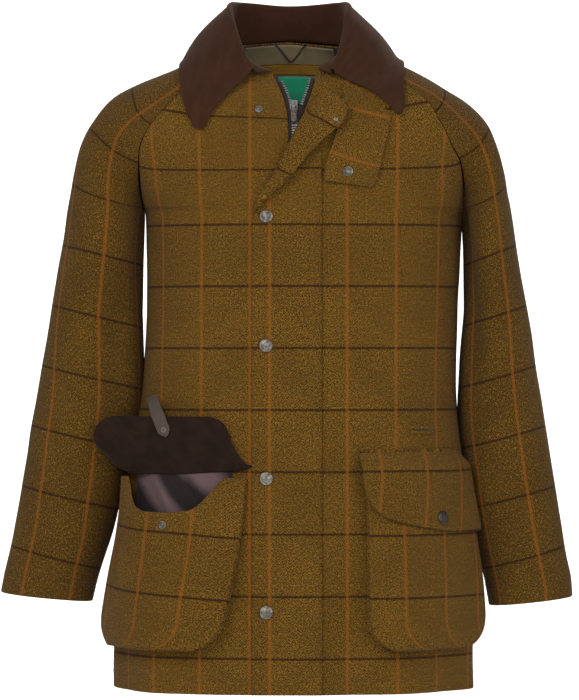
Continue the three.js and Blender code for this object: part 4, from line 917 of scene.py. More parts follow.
hanger_thread = thread("hanger_thread", linear(46, 32, 26))
hanger = tube("hanger_cord", hanger_path, 1.3, hanger_thread, 10, 1.6, 0.14)
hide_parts("hanger_loop")


# Stitching of the neck and label
# Machine stitches in twisted thread, each one a short bead that dips into the cloth at
# both ends. A line of them lies a little way in from the edge that it holds.
def stitches(name, lines, material, pitch=3.2, long=2.3, wide=0.42, rise=0.12):
    """Each line is points in mm and the way the cloth faces at each of them."""
    mesh = bmesh.new()
    for points, facing in lines:
        lengths = lengths_along(points[None], 1)[0]
        count = max(1, int(lengths[-1] / pitch))
        for k in range(count):
            middle = (k + 0.5) * lengths[-1] / count
            ends = []
            for at in np.linspace(middle - long / 2, middle + long / 2, 4):
                ends.append((np.array([np.interp(at, lengths, points[:, c]) for c in range(3)]),
                             unit(np.array([np.interp(at, lengths, facing[:, c])
                                            for c in range(3)]))))
            way = unit(ends[-1][0] - ends[0][0])
            rings = []
            for (spot, out), grown in zip(ends, (0.55, 1.0, 1.0, 0.55)):
                side = np.cross(way, out)
                centre = spot + out * (rise + wide * (grown - 0.8))
                rings.append([mesh.verts.new((centre + wide / 2 * (
                    side * math.cos(a) + out * math.sin(a))) / 1000)
                    for a in np.linspace(0, 2 * math.pi, 7)[:-1]])
            join_rings(mesh, rings)
    bmesh.ops.recalc_face_normals(mesh, faces=mesh.faces)
    return as_piece(name, mesh, material)


def line_on(grid, part=None, side="d", inset=6.0, inside=body_middle):
    """A line a little way in from one edge of a grid, with the way the cloth faces there."""
    normals = normals_of(grid)
    out = (normals * (grid - np.array(inside, float))).sum(2).mean()
    normals = normals * np.sign(out)
    if side in "lr":
        grid, normals = grid.transpose(1, 0, 2), normals.transpose(1, 0, 2)
    if side in "dr":
        grid, normals = grid[::-1], normals[::-1]
    down = lengths_along(grid, 0)
    points, facing = [], []
    for b in range(grid.shape[1]):
        points.append([np.interp(inset, down[:, b], grid[:, b, k]) for k in range(3)])
        facing.append([np.interp(inset, down[:, b], normals[:, b, k]) for k in range(3)])
    points, facing = np.array(points), np.array(facing)
    if part is not None:
        keep = slice(int(part[0] * len(points)), max(2, int(part[1] * len(points))))
        points, facing = points[keep], facing[keep]
    return points, facing


yellow_thread = thread("yellow_thread", linear(190, 150, 62))
stitches("neck_stitching", [
    line_on(neck_grid, side="d", inset=1.6, inside=(0, 400, -60))], yellow_thread, 2.6, 2.0, 0.7)
stitches("label_stitching", [
    line_on(label_grid, side=s, inset=1.3, inside=(0, 400, -60)) for s in "udlr"],
    thread("label_thread", linear(120, 150, 110)), 2.0, 1.4, 0.35)

# Storm flap
# A long tweed flap, tweed on both faces, sewn beside the zip and snapped over it. Its top
# is undone and turned back towards the wearer's left, over a soft fold.
flap_level, flap_base, flap_edge = 3.4, 37.5, -43.5
# base, fold and tip of each row of the turned-back top, and how high the turned part lies
turned = np.array([
    (0, 37.5, -176, -36, -171, -32, -169, 5.4), (1, 37.5, -163, -25.5, -153, -14, -154, 6),
    (2, 37.5, -147, -11, -130, 3, -136, 7), (3, 37.5, -125, 2.5, -104, 22, -113, 8),
    (4, 37.5, -102, 15, -79, 43, -92, 8), (5, 40, -80, 28, -60, 62, -77, 8),
    (6, 44, -61, 40, -46, 69, -65, 8), (7, 49, -49, 49, -37, 71.5, -57, 8)])
flat_parts = np.r_[np.linspace(0, 0.88, 22), np.linspace(0.9, 1, 25)[1:]]


def flap_row(at):
    base_x, base_z, fold_x, fold_z, tip_x, tip_z, lift = (read(turned, c, at) for c in range(1, 8))
    line = [on_front(base_x + (fold_x - base_x) * t, base_z + (fold_z - base_z) * t, flap_level)[0]
            for t in np.linspace(0, 0.985, 22)]
    low, out = on_front(fold_x, fold_z, flap_level)
    away = unit(np.array([tip_x - fold_x, 0, tip_z - fold_z]))
    for degrees in np.linspace(-80, 80, 9):
        turn = math.radians(degrees)
        line.append(low + out * (lift / 2) * (1 + math.sin(turn))
                    - away * (lift / 2) * math.cos(turn))
    for t in np.linspace(0, 1, 15):
        bow = 1.6 * math.sin(math.pi * t)
        line.append(on_front(fold_x + (tip_x - fold_x) * t, fold_z + (tip_z - fold_z) * t,
                             flap_level + lift + bow)[0])
    return np.array(line)


flap_rows = []
for z in np.r_[hem + 0.2, hem + 0.8, hem + 2, np.linspace(hem + 6, -205, 84), -196, -188, -182]:
    flap_rows.append(np.array([on_front(flap_base + (flap_edge - flap_base) * t, z, flap_level)[0]
                               for t in flat_parts]))
for at in np.r_[np.linspace(0, 6.9, 46), 6.96, 7]:
    flap_rows.append(flap_row(at))
flap_grid = np.array(flap_rows)
joint = 90
for _ in range(6):
    before, here = flap_grid[joint - 6:joint + 7], flap_grid[joint - 5:joint + 8]
    flap_grid[joint - 5:joint + 8] = (before + 2 * here + flap_grid[joint - 4:joint + 9]) / 4
flap_normals = facing_out(flap_grid, 40, 10, body_middle)
flap_shape = rolled_edges(flap_grid, flap_normals, 1.4, "udr")
across = lengths_along(flap_grid, 1)
down = lengths_along(flap_grid, 0)[:, 12:13]
down = down - np.interp(first_line["body"], flap_grid[:joint + 1, 12, 2], down[:joint + 1, 0])
flap_uv = np.stack([(61 - across) * 0.95, np.broadcast_to(down, across.shape)], 2)
flat_end, fold_end, turned_from = 22, 31, joint - 2
flap_uv[turned_from:, :flat_end, 1] = flap_grid[turned_from:, :flat_end, 2] - first_line["body"]
flap_uv[turned_from:, fold_end:, 0] = 8 + 0.8 * (across[turned_from:, fold_end:]
                                                 - across[turned_from:, fold_end:fold_end + 1])
lapel_down = down + 5 + 9 * smooth(-165, -100, flap_grid[:, 40:41, 2])
flap_uv[turned_from:, fold_end:, 1] = lapel_down[turned_from:]
for column in range(flat_end, fold_end):
    part = (column - flat_end + 1) / (fold_end - flat_end + 1)
    flap_uv[turned_from:, column] = (flap_uv[turned_from:, flat_end - 1] * (1 - part)
                                     + flap_uv[turned_from:, fold_end] * part)
flap_piece = lay_out("storm_flap_cloth", flap_shape, flap_uv, [tweed_cloth], 2.0, body_middle)
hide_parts("storm_flap")

# Throat tab
# A short tweed tab, sewn under the collar on the wearer's left and hanging over the front.
# It closes the throat when it is snapped across. Its stitching and that of the storm flap
# are in the same thread.
tab_level = 3.8
tab_rows = np.array([
    (0, 64, -27, 112, -55), (1, 63, -45, 119, -66), (2, 59, -70, 116, -84), (3, 51, -95, 111, -104),
    (4, 44, -117, 107, -122), (5, 40.5, -134, 103, -139), (6, 41.5, -143, 97, -151)])
tab_grid = []
for at in np.r_[np.linspace(0, 5.9, 34), 5.95, 5.98, 6]:
    inner_x, inner_z, outer_x, outer_z = (float(read(tab_rows, c, at)) for c in range(1, 5))
    line = []
    for t in edge_parts(62, 20):
        lift = 1.6 * math.sin(math.pi * t) ** 2 * at / 6 + 1.4 * (1 - t) ** 4
        line.append(on_front(inner_x + (outer_x - inner_x) * t, inner_z + (outer_z - inner_z) * t,
                             tab_level + lift)[0])
    tab_grid.append(line)
tab_grid = np.array(tab_grid)
tab_normals = facing_out(tab_grid, 10, 10, body_middle)
tab_uv = np.stack([lengths_along(tab_grid, 0) - 93 + 21 * np.linspace(0, 1, tab_grid.shape[1]),
                   lengths_along(tab_grid, 1) + 8], 2)
tab_piece = lay_out("throat_tab_cloth", rolled_edges(tab_grid, tab_normals, 1.4, "dlr"), tab_uv,
                    [tweed_cloth], 2.0, body_middle)
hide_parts("throat_tab")

stitches("flap_stitching", [
    line_on(flap_grid[:, :46], side="r", inset=3.0, part=(0, 0.64)),
    line_on(flap_grid, side="l", inset=3.0), line_on(flap_grid, side="r", inset=5.0,
                                                     part=(0.67, 1)),
    line_on(flap_grid, side="d", inset=4.0, part=(0.66, 1)),
    line_on(tab_grid, side="l", inset=4.5), line_on(tab_grid, side="r", inset=4.5),
    line_on(tab_grid, side="d", inset=4.5)], thread("olive_thread", linear(92, 70, 34)),
    3.0, 2.2, 0.4)

# Bellows pockets
# Each pocket is a tweed panel with round lower corners, on a folded tweed gusset that is
# sewn to the front, so that the panel can stand away. The open one is lined with satin,
# which shows in its dipped mouth.
pocket_bottom, pocket_corner = -698, 38
# inner and outer side along the girth, top z, whether the mouth dips, and how far it gapes
pockets = {
    "right": {"inner": -57, "outer": -250, "top": -495, "dips": True, "gape": 18},
    "left": {"inner": 90, "outer": 254, "top": -488, "dips": False, "gape": 0}}


def over_body(z, along, offset):
    """A point a given way out of the rippled cloth of the body, at a length from the zip."""
    base = around(z, [along])[0]
    foot = skin.find_nearest(Vector(base))[0]
    outward = around(z, [along], 1)[0] - base
    return base + outward * (offset + float(outward @ (np.array(foot) - base)))


# the cut of the open pocket's mouth: place along the girth and how far it dips
mouth_cut = np.array([(-215, 0), (-203, 0), (-200, 17), (-191, 34), (-177, 40), (-147, 41),
                      (-121, 38), (-111, 30), (-97, 12), (-89, 2), (-84, 0), (-50, 0)], float)


def pocket_depth(side, across, z):
    top = pockets[side]["top"]
    part = min(max((top - z) / (top - pocket_bottom), 0), 1)
    gape = pockets[side]["gape"] * math.sin(math.pi * across) * (1 - part)
    return 8 + 12 * float(smooth(0, 0.85, part)) + gape


def pocket_lean(side, z):
    """The open pocket hangs askew: its top leans to the zip and its bottom away from it."""
    return 7 - 32 * min(max((-488 - z) / 210, 0), 1) ** 1.6 if side == "right" else 0.0


def pocket_place(side, across, down):
    inner, outer, top, dips = (pockets[side][key] for key in ("inner", "outer", "top", "dips"))
    level = (inner + outer) / 2 + (outer - inner) / 2 * (2 * across - 1) - 7
    z = top - (float(np.interp(level, mouth_cut[:, 0], mouth_cut[:, 1])) if dips else 0)
    z += (pocket_bottom - z) * down
    cut = 0
    if z - pocket_bottom < pocket_corner:
        cut = pocket_corner - math.sqrt(pocket_corner**2
                                        - (pocket_corner - z + pocket_bottom) ** 2)
    middle, half = (inner + outer) / 2, abs(outer - inner) / 2
    along = middle + math.copysign(1, outer - inner) * (half - cut) * (2 * across - 1)
    along += pocket_lean(side, z)
    round_off = 3 * abs(2 * across - 1) ** 6 + 2.2 * max(0, down - 0.9) * 10 * down
    return z, along, pocket_depth(side, across, z) - min(round_off, 4)


pocket_grids = {}
for side in ("right", "left"):
    inner, outer, top = (pockets[side][key] for key in ("inner", "outer", "top"))
    grid = []
    for down in np.r_[0, 0.004, 0.01, np.linspace(0.02, 0.985, 56), 0.992, 0.995]:
        line = []
        for across in edge_parts(190, 44):
            z, along, depth = pocket_place(side, across, down)
            line.append(over_body(z, along, depth + 2))
        grid.append(line)
    grid = np.array(grid)
    normals = facing_out(grid, 20, 20, body_middle)
    sag = np.array([[0.9 * noise.noise(Vector((p[0] / 30, p[1] / 30 + 3, p[2] / 40)))
                     for p in line] for line in grid])
    grid = grid + normals * sag[..., None]
    pocket_grids[side] = grid
    across, down = lengths_along(grid, 1), lengths_along(grid, 0)
    shift = {"right": -26.0, "left": -44.0}[side]
    askew = {"right": -0.063, "left": 0.0}[side]
    if side == "right":
        across = across + 8.7 - 0.15 * (533 + grid[..., 2])
    level = across + shift
    if side == "right":
        level = np.where(level < 60, 60 + 0.72 * (level - 60), level)
        level = np.where(level > 120, 120 + 0.75 * (level - 120), level)
    uv = np.stack([level, grid[..., 2] + 563 + askew * (across - 60)], 2)
    piece = lay_out(f"pocket_{side}_panel", rolled_edges(grid, normals, 2.0), uv,
                    [tweed_cloth, satin], 2.0, body_middle)
    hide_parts(f"pocket_{side}")

    inset, turn = 5, math.copysign(1, outer - inner)
    low, high, radius = pocket_bottom + inset, top - 1, pocket_corner - inset
    inner_side, outer_side = inner + turn * inset, outer - turn * inset
    path = [(inner_side, high + (low + radius - high) * k / 18, -turn, 0) for k in range(18)]
    for k in range(13):
        angle = math.pi / 2 * k / 12
        path.append((inner_side + turn * radius * (1 - math.cos(angle)),
                     low + radius * (1 - math.sin(angle)), -turn * math.cos(angle),
                     -math.sin(angle)))
    for k in range(1, 16):
        path.append((inner_side + turn * radius + (outer_side - inner_side - 2 * turn * radius)
                     * k / 16, low, 0, -1))
    for k in range(13):
        angle = math.pi / 2 * k / 12
        path.append((outer_side - turn * radius * (1 - math.sin(angle)),
                     low + radius * (1 - math.cos(angle)), turn * math.sin(angle),
                     -math.cos(angle)))
    path += [(outer_side, low + radius + (high - low - radius) * k / 18, turn, 0)
             for k in range(1, 19)]
    grid = []
    for along, z, sideways, drop in path:
        depth = max(pocket_depth(side, 0, z) - 2.4, 1.2)
        line = []
        for part in np.linspace(0, 1, 11):
            bulge = 3.2 * math.sin(math.pi * part) - 2.4 * math.sin(3 * math.pi * part)
            sideways_now = sideways * bulge + pocket_lean(side, z)
            line.append(over_body(z + drop * bulge, along + sideways_now,
                                  0.9 + (depth - 0.9) * part))
        grid.append(line)
    grid = np.array(grid)
    uv = np.stack([lengths_along(grid, 1) + 8, lengths_along(grid, 0)], 2)
    piece = lay_out(f"pocket_{side}_bellows", grid, uv, [tweed_cloth], 1.2,
                    around(-640, [(inner + outer) / 2], 6)[0])
    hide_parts(f"pocket_{side}_gusset")

mouth_top, mouth_drop, mouth_start, mouth_reach, pleats = -489, 82, -67, 137, 2.6


def pleat(across, down):
    """How far a soft pleat stands out of the satin; the pleats fade at the top and the sides."""
    wave = max(0, math.sin(2 * math.pi * (pleats * across + 0.8 * down + 0.35))) ** 1.5
    return 6 * float(smooth(-0.02, 0.2, down)) * wave * math.sin(math.pi * across)


satin_grid = np.array([[
    over_body(mouth_top - mouth_drop * down, mouth_start - mouth_reach * across,
              1.8 + pleat(across, down))
    for across in np.linspace(0, 1, 110)] for down in np.linspace(0, 1, 30)])
# The satin in the open pocket's mouth is a copy darkened towards near black in wavy diagonal bands:
# painted shade in its folds.
fold_shaded_satin = Nodes("creased_satin", satin.copy())
shade_link = fold_shaded_satin.shader.inputs["Base Color"].links[0].from_socket
place_fold_shade = fold_shaded_satin.add("TexCoord").outputs["Object"]
turn_fold_shade = fold_shaded_satin.add("Mapping", {"Vector": place_fold_shade, "Rotation": (0, math.radians(35), 0)})
painted_fold_shade = fold_shaded_satin.add("TexWave", {"Vector": turn_fold_shade.outputs["Vector"], "Scale": 5.6,
                                "Distortion": 5.0, "Detail Scale": 1.2})
fold_shade_amount = fold_shaded_satin.add("MapRange", {"Value": painted_fold_shade.outputs["Fac"], "From Min": 0.85,
                                  "From Max": 0.3, "To Max": 0.95})
fold_shaded_satin.feed(fold_shaded_satin.shader.inputs["Base Color"],
             fold_shaded_satin.mix(fold_shade_amount.outputs[0], shade_link, linear(20, 10, 9)))
fold_shaded_satin.shader.inputs["Roughness"].default_value = 0.6
fold_shaded_satin.shader.inputs["Specular IOR Level"].default_value = 0.2
satin_piece = lay_out("pocket_satin", satin_grid, np.stack(
    [lengths_along(satin_grid, 1), lengths_along(satin_grid, 0)], 2), [fold_shaded_satin.material], 1.2,
    body_middle)
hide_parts("pocket_right_lining")

# Pocket flaps
# Tweed flaps sewn to the fronts above the pockets and faced with dark moleskin. The left
# one is closed and snapped, and the right one is turned up to show its underside.
# lower edge of the closed flap: part of the way across, and z
closed_low = np.array([(0, -508), (0.02, -520), (0.045, -530), (0.116, -541), (0.2, -546.5),
                       (0.34, -552), (0.56, -559), (0.96, -561), (0.985, -558), (1, -552)])
closed_grid = []
for down in np.r_[0, 0.004, 0.01, np.linspace(0.02, 0.985, 40), 0.992, 0.997, 1]:
    line = []
    for across in edge_parts(172, 46):
        bottom = float(np.interp(across, closed_low[:, 0], closed_low[:, 1]))
        z = -465 + (bottom + 465) * down ** 1.5
        rise = 1 - float(smooth(-484, -467, z))
        lower = (-465 - z) / 90
        along = 81 + 8 * lower + (158 + 9 * lower) * across
        over_pocket = pocket_depth("left", 0, z) + 5.8
        bow = 1.8 * math.sin(math.pi * across) * down**2
        bow += 1.2 * math.sin(5.2 * across + 1) * down
        line.append(over_body(z, along, 3 + (over_pocket + bow - 3) * rise))
    closed_grid.append(line)
closed_grid = np.array(closed_grid)
closed_normals = facing_out(closed_grid, 20, 20, body_middle)
down = lengths_along(closed_grid, 0)
closed_line = np.interp(488, -closed_grid[:, 24, 2], down[:, 24])
closed_uv = np.stack([lengths_along(closed_grid, 1) - 30.0 - 0.12 * (down - 45),
                      closed_line - down], 2)
closed_piece = lay_out("flap_left_cloth", rolled_edges(closed_grid, closed_normals, 1.5),
                       closed_uv, [tweed_cloth, moleskin], 2.0, body_middle)
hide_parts("flap_left")


# outline of the turned-up flap: its lower edge by place along the girth, and its two ends
up_low = np.array([(-244, -466), (-238, -475), (-225, -484), (-212, -489), (-194, -492),
                   (-125, -492), (-78, -488.5), (-50, -486), (-40, -480)], float)
up_ends = np.array([(0, -240, -42), (0.12, -242.5, -51), (0.25, -243, -58), (0.5, -243, -66),
                    (0.75, -240, -71), (0.88, -235, -76), (0.95, -229, -83), (1, -219, -94)])


def turned_up(across, up):
    """A point of the turned-up flap, which goes on straight where it leaves the body."""
    outer, inner = (float(np.interp(up, up_ends[:, 0], up_ends[:, c])) for c in (1, 2))
    along = inner + (outer - inner) * across
    low = float(np.interp(along, up_low[:, 0], up_low[:, 1]))
    z = low + (-424 - low) * up
    leaves = -148 + 40 * float(smooth(0, 0.4, up))
    rise = 2.2 + 4.6 * float(smooth(0, 0.7, up))
    if along > leaves:
        return over_body(z, along, rise)
    start = over_body(z, leaves, rise)
    straight = unit(around(z, [leaves], rise)[0] - around(z, [leaves + 4], rise)[0])
    return start + straight * (leaves - along)


up_parts = np.r_[0, 0.01, 0.03, np.linspace(0.05, 0.94, 26), 0.955, 0.97, 0.98, 0.99, 0.995, 1]
up_grid = np.array([[turned_up(across, up) for across in edge_parts(205, 48)]
                    for up in up_parts])
up_normals = facing_out(up_grid, 15, 20, body_middle)
wave = np.array([[0.9 * noise.noise(Vector((p[0] / 40, 2.5, p[2] / 30))) for p in line]
                 for line in up_grid])
up_grid = up_grid + up_normals * wave[..., None]
up_uv = np.stack([lengths_along(up_grid, 1), lengths_along(up_grid, 0)], 2)
up_piece = lay_out("flap_right_cloth", rolled_edges(up_grid, up_normals, 1.2), up_uv,
                   [tweed_cloth], 1.2, body_middle)
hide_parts("flap_right")
dark_moleskin = napped("dark_moleskin", linear(46, 31, 24), 0.6, 0.6)
under_grid = up_grid + up_normals * 1.6
under_piece = lay_out("flap_right_underside", rolled_edges(under_grid, up_normals, 1.6), up_uv,
                      [dark_moleskin], 1.2, body_middle)
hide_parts("flap_right_lining")

# Flap strap and welted slit
# A brown twill strap hangs from a slit in the front and holds the turned-up flap through
# an eyelet. Above the closed flap only the slit shows, between two narrow tweed welts.
def antique(name, colour, rough=0.38):
    """Metal with a worn dark finish."""
    m = Nodes(name)
    place = m.add("TexCoord").outputs["Object"]
    worn = m.noise(place, 260.0, 2.0, 0.5)
    dark = tuple(0.5 * c for c in colour[:3]) + (1,)
    m.feed(m.shader.inputs["Base Color"], m.mix(m.ramp(worn, 0.35, 0.62), dark, colour))
    m.feed(m.shader.inputs["Roughness"], m.ramp(worn, 0.3, 0.7, rough + 0.2, rough))
    m.shader.inputs["Metallic"].default_value = 1.0
    m.bump(worn, 0.2, 0.0001)
    return m.material


silver = antique("antique_silver", linear(150, 144, 134))
bright = antique("zip_silver", linear(190, 188, 182), 0.3)

strap_cloth = lining("strap_twill", linear(86, 69, 58), 0.8, 1.4)
strap_grid = []
for down in np.linspace(0, 1, 60):
    wide = (13.4 + 1.6 * float(smooth(0, 0.5, down))) * (1 - 0.82 * max(0, down - 0.87) / 0.13)
    over_flap = float(smooth(-404, -421, -401 - 47 * down))
    line = []
    for side in np.linspace(-0.5, 0.5, 11):
        x, z = -164 + 19 * down + 0.93 * side * wide, -401 - 47 * down + 0.37 * side * wide
        cell = np.unravel_index(np.argmin((under_grid[..., 0] - x) ** 2
                                          + (under_grid[..., 2] - z) ** 2), under_grid.shape[:2])
        low = on_front(x, z, 1.7)[0][1]
        high = under_grid[cell][1] - 2.6 - 0.6 * (1 - (2 * side) ** 2)
        line.append((x, low + (high - low) * over_flap, z))
    strap_grid.append(line)
strap_grid = np.array(strap_grid)
for _ in range(4):
    strap_grid[1:-1, :, 1] = (strap_grid[:-2, :, 1] + strap_grid[1:-1, :, 1]
                              + strap_grid[2:, :, 1]) / 3
strap_uv = np.stack([lengths_along(strap_grid, 1) + 8, lengths_along(strap_grid, 0) + 4], 2)
strap_piece = lay_out("hold_strap_cloth", strap_grid, strap_uv, [strap_cloth], 1.2,
                      around(-430, [-150], 0)[0])
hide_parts("hold_strap")

slit_points = []
for down in np.linspace(0, 1, 19):
    lips = 1.3 + 1.1 * abs(math.sin(2 * math.pi * down))
    lips -= 1.6 * math.exp(-((down - 0.5) / 0.06) ** 2)
    line = []
    for across in np.linspace(0, 1, 40):
        ends = float(smooth(0, 0.05, across) * smooth(0, 0.05, 1 - across))
        line.append(over_body(-434.5 - 10 * down - 1.5 * across, 146 + 38 * across, lips * ends))
    slit_points.append(line)
slit_grid = np.array(slit_points)
slit_piece = lay_out("slit_left_welt", slit_grid, np.stack(
    [lengths_along(slit_grid, 1) + 6, lengths_along(slit_grid, 0) + 5], 2), [tweed_cloth], 1.0,
    body_middle)
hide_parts("slit_left")
parts = np.linspace(0, 1, 20)
# One long dark bead lies along the slit between the welts: painted shadow of the opening.
slit_shadow_path = np.array([over_body(-440 - 1.5 * part, 148 + 34 * part, 0.9) for part in parts])
slit_shadow_facing = np.array([unit(over_body(-440, 148 + 34 * part, 9)
                                - over_body(-440, 148 + 34 * part, 0)) for part in parts])
dark_thread = thread("dark_thread", linear(40, 24, 12))
stitches("slit_opening", [(slit_shadow_path, slit_shadow_facing)], dark_thread, 60.0, 33.0, 1.5)


# Snaps, studs and sockets
# Pressed metal parts with an antique silver finish, each riveted through the cloth. Caps
# close the storm flap, and open sockets and studs show where a fastening is undone.
def turned_metal(name, node, spot, facing, profile, material, segments=40):
    """A closed piece turned from a profile, standing on a spot of the cloth."""
    mesh = bmesh.new()
    turn = Vector((0, 0, 1)).rotation_difference(Vector(facing)).to_matrix()
    rings = []
    for radius, height in profile:
        ring = []
        for k in range(segments):
            angle = 2 * math.pi * k / segments
            ring.append(mesh.verts.new((Vector(spot) + turn @ Vector(
                (radius * math.cos(angle), radius * math.sin(angle), height))) / 1000))
        rings.append(ring)
    join_rings(mesh, rings)
    bmesh.ops.recalc_face_normals(mesh, faces=mesh.faces)
    piece = as_piece(name, mesh, material)
    if node:
        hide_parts(node)
    return piece


# each profile is radius and height, in mm, from the foot to the middle
cap_profile = [(7.4, 0.2), (7.9, 0.4), (8.1, 0.9), (7.9, 1.5), (7.2, 2.0), (6.6, 2.2), (6.2, 2.05),
               (5.8, 2.0), (5.5, 2.25), (4.6, 2.6), (3.2, 2.85), (1.6, 3.0), (0.4, 3.05)]
ring_profile = [(6.0, 0.1), (6.3, 0.4), (6.4, 0.9), (6.0, 1.5), (5.4, 1.7), (4.8, 1.4), (4.4, 0.8),
                (4.2, 0.4), (3.4, 0.4), (3.1, 0.9), (2.8, 1.7), (2.2, 2.1), (1.2, 2.2), (0.3, 2.2)]
stud_profile = [(4.7, 0.1), (4.9, 0.4), (4.7, 0.9), (4.0, 1.1), (3.2, 0.9), (2.6, 0.9), (2.3, 1.2),
                (2.2, 1.9), (2.3, 2.4), (1.9, 2.7), (0.8, 2.8), (0.2, 2.8)]


def seat_on(grid, row, column, inside=body_middle, lift=0.1):
    """Where a grid lies at a place of it, and the way its outer face looks."""
    normals = normals_of(grid)
    facing = normals[row, column]
    if facing @ (grid[row, column] - np.array(inside, float)) < 0:
        facing = -facing
    return grid[row, column] + facing * lift, facing


def nearest_cell(grid, x, z):
    return np.unravel_index(np.argmin((grid[..., 0] - x) ** 2 + (grid[..., 2] - z) ** 2),
                            grid.shape[:2])


for number, z in enumerate((-191, -343, -497, -651)):
    row, column = nearest_cell(flap_grid[:, :46], -26, z)
    spot, facing = seat_on(flap_grid, row, column)
    turned_metal(f"snap_cap_{number + 1}", f"snap_{number + 1}", spot, facing, cap_profile, silver)
spot, facing = seat_on(tab_grid, *nearest_cell(tab_grid, 68, -131))
turned_metal("snap_ring_tab", "snap_tab", spot, facing, ring_profile, silver)
spot, facing = on_front(-36, -55, 0.1)
turned_metal("stud_on_front", "stud_front", spot, facing, stud_profile, silver)
lapel = flap_grid[joint + 1:, fold_end:]
spot, facing = seat_on(lapel, *nearest_cell(lapel, 54.5, -69))
turned_metal("socket_on_flap", "socket_flap", spot, facing, ring_profile, silver)
panel = pocket_grids["right"]
spot, facing = seat_on(panel, *nearest_cell(panel, -150, -549))
turned_metal("stud_on_pocket", "stud_pocket", spot, facing, stud_profile, silver)
spot, facing = seat_on(closed_grid, *nearest_cell(closed_grid, 180.5, -544))
turned_metal("snap_cap_pocket", "snap_pocket", spot, facing, cap_profile,
             antique("dark_silver", linear(104, 96, 90)))
spot, facing = seat_on(strap_grid, *nearest_cell(strap_grid, strap_grid[49, 5, 0],
                                                 strap_grid[49, 5, 2]))
turned_metal("strap_eyelet", None, spot, facing, [
    (3.0, 0.0), (3.3, 0.3), (3.2, 0.7), (2.7, 0.9), (2.1, 0.8), (1.7, 0.4), (1.6, 0.1), (0.2, 0.1)],
    silver, 28)

# Zip
# Two dark woven tapes, sewn under the edges of the fronts, with metal teeth clamped to
# them half a pitch apart. The slider is cast, and its pull tab swings on a lug.
tape_cloth = lining("zip_tape", linear(36, 23, 17), 0.85, 0.8)
tape_level = -0.4
for side, turn in (("right", 1), ("left", -1)):
    edge = panels["front_" + side][:, 0]
    steps = spaced(edge, np.linspace(0.012, 0.995, 260))
    grid = []
    for x, y, z in steps:
        gap = 0.4 + 1.2 * float(smooth(-80, -40, z))
        line = []
        for wide in np.linspace(-7.5, 4.4, 10):
            deep = tape_level - 3.6 * float(smooth(0.2, 1.4, -wide))
            line.append(on_front(x + turn * (gap + wide), z, deep)[0])
        grid.append(line)
    grid = np.array(grid)
    piece = lay_out(f"zip_tape_{side}_cloth", grid, np.stack(
        [lengths_along(grid, 1), lengths_along(grid, 0)], 2), [tape_cloth], 1.0, body_middle)
    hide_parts("zip_tape_" + side)

    # teeth grip the edge of the tape, half a pitch apart from those of the other side
    mesh = bmesh.new()
    inner = grid[:, -1]
    lengths = lengths_along(inner[None], 1)[0]
    pitch = 3.3
    for k in range(int(lengths[-1] / pitch) - 1):
        at = (k + (0.5 if side == "right" else 1.0)) * pitch
        spot = np.array([np.interp(at, lengths, inner[:, c]) for c in range(3)])
        further = np.array([np.interp(at + 1, lengths, inner[:, c]) for c in range(3)])
        way = unit(further - spot)
        if -65.5 < spot[2] < -51:
            continue
        out = on_front(spot[0], spot[2])[1]
        reach = turn * unit(np.cross(way, out)) * (1 if np.cross(way, out)[0] > 0 else -1)
        shape = [(-1.6, 1.35), (0.4, 1.35), (1.3, 0.95), (2.3, 0.8), (2.3, -0.8), (1.3, -0.95),
                 (0.4, -1.35), (-1.6, -1.35)]
        low, high = [], []
        for r, w in shape:
            base = spot + reach * (r * 0.85) + way * (w * 0.68)
            low.append(mesh.verts.new((base - out * 0.7) / 1000))
            high.append(mesh.verts.new((base + out * 0.9) / 1000))
        mesh.faces.new(high)
        mesh.faces.new(low[::-1])
        for j in range(len(shape)):
            mesh.faces.new((high[j], low[j], low[(j + 1) % 8], high[(j + 1) % 8]))
    bmesh.ops.recalc_face_normals(mesh, faces=mesh.faces)
    as_piece(f"zip_teeth_{side}", mesh, bright, rounded=False)

pull_metal = antique("pull_metal", linear(150, 132, 124), 0.42)
for node, body, material in (("zip_slider", "coat", bright), ("zip_pull", "pull", pull_metal)):
    source = frame["nodes"][node]
    mesh = bmesh.new()
    mesh.from_mesh(source.data)
    bmesh.ops.remove_doubles(mesh, verts=mesh.verts, dist=1e-6)
    bmesh.ops.dissolve_limit(mesh, angle_limit=math.radians(1), verts=mesh.verts, edges=mesh.edges)
    piece = as_piece(node + "_cast", mesh, material, body, rounded=False)
    rounding = piece.modifiers.new("rounding", "BEVEL")
    rounding.width = 0.00028
    rounding.segments = 3
    rounding.limit_method = "ANGLE"
    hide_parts(node)

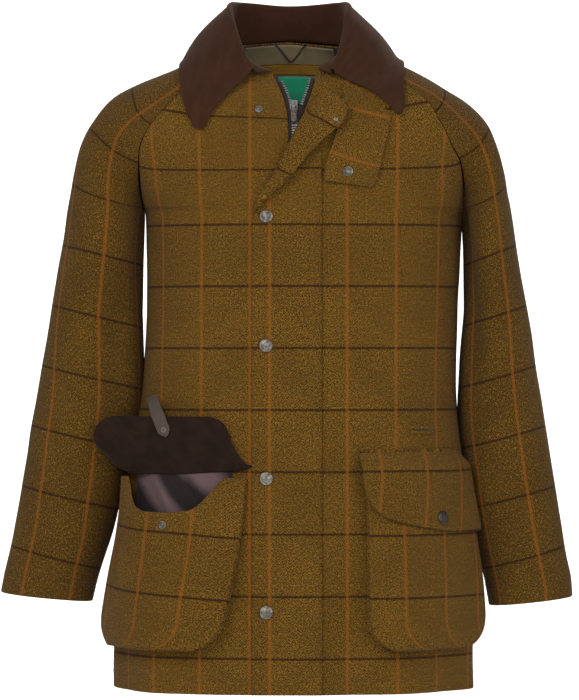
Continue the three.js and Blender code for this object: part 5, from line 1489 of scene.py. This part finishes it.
# Stitching of the pockets, flaps, hem and cuffs
# Olive thread that nearly matches the tweed: one row along each edge, two at the top of
# the closed flap, and a row that holds the turned-up hem and cuffs.
olive = bpy.data.materials["olive_thread"]
stitches("pocket_stitching", [
    line_on(closed_grid, side="u", inset=3.0), line_on(closed_grid, side="u", inset=10.5),
    line_on(closed_grid, side="d", inset=4.5, part=(0.12, 0.9)),
    line_on(pocket_grids["right"], side="u", inset=5.0, part=(0.08, 0.92)),
    line_on(pocket_grids["left"], side="d", inset=4.0, part=(0.1, 0.9)),
    line_on(pocket_grids["right"], side="d", inset=4.0, part=(0.1, 0.9))], olive, 3.0, 2.2, 0.4)
stitches("hem_stitching", [
    line_on(panels["front_right"], side="d", inset=19.0, part=(0.02, 0.97)),
    line_on(panels["front_left"], side="d", inset=19.0, part=(0.22, 0.97)),
    line_on(panels["back"], side="d", inset=19.0, part=(0.02, 0.98))], olive, 3.6, 2.4, 0.4, 0.9)
for side in ("right", "left"):
    middle = tuple(panels[f"sleeve_{side}_front"][-4:].mean((0, 1)) * (1, 0, 1))
    stitches(f"cuff_stitching_{side}", [
        line_on(panels[f"sleeve_{side}_{word}"], side="d", inset=24.0, part=(0.03, 0.97),
                inside=middle) for word in ("front", "back")], olive, 3.6, 2.4, 0.4, 0.9)

# Drop of the chest
# Below the neck the fronts and all that lies on them hang a few millimetres lower, as
# heavy cloth does. Each point slides down along the slope of the chest.
# the drop grows from nothing to all of it between two heights, and from the sides to the front
drop, dropped_z, dropped_y = 7, (-205, -110), (-40, -85)
beside_zip, over_neck = -20, (60, 0)
slope_z = np.arange(-230, top_z + 1, 15)
slope_y = np.array([on_front(beside_zip, z)[0][1] for z in slope_z])
chest_z, chest_y = np.r_[slope_z, over_neck[0]], np.r_[slope_y, over_neck[1]]
for piece in bpy.data.objects:
    if (piece.type != "MESH" or piece.name in frame["nodes"] or piece is studio
            or piece.name in ("zip_slider_cast", "zip_pull_cast")):
        continue
    points = np.zeros(len(piece.data.vertices) * 3)
    piece.data.vertices.foreach_get("co", points)
    points = points.reshape(-1, 3) * 1000
    slide = drop * smooth(*dropped_z, points[:, 2]) * smooth(*dropped_y, points[:, 1])
    points[:, 1] += (np.interp(points[:, 2] - slide, chest_z, chest_y)
                     - np.interp(points[:, 2], chest_z, chest_y))
    points[:, 2] -= slide
    piece.data.vertices.foreach_set("co", (points / 1000).ravel())
    piece.data.update()
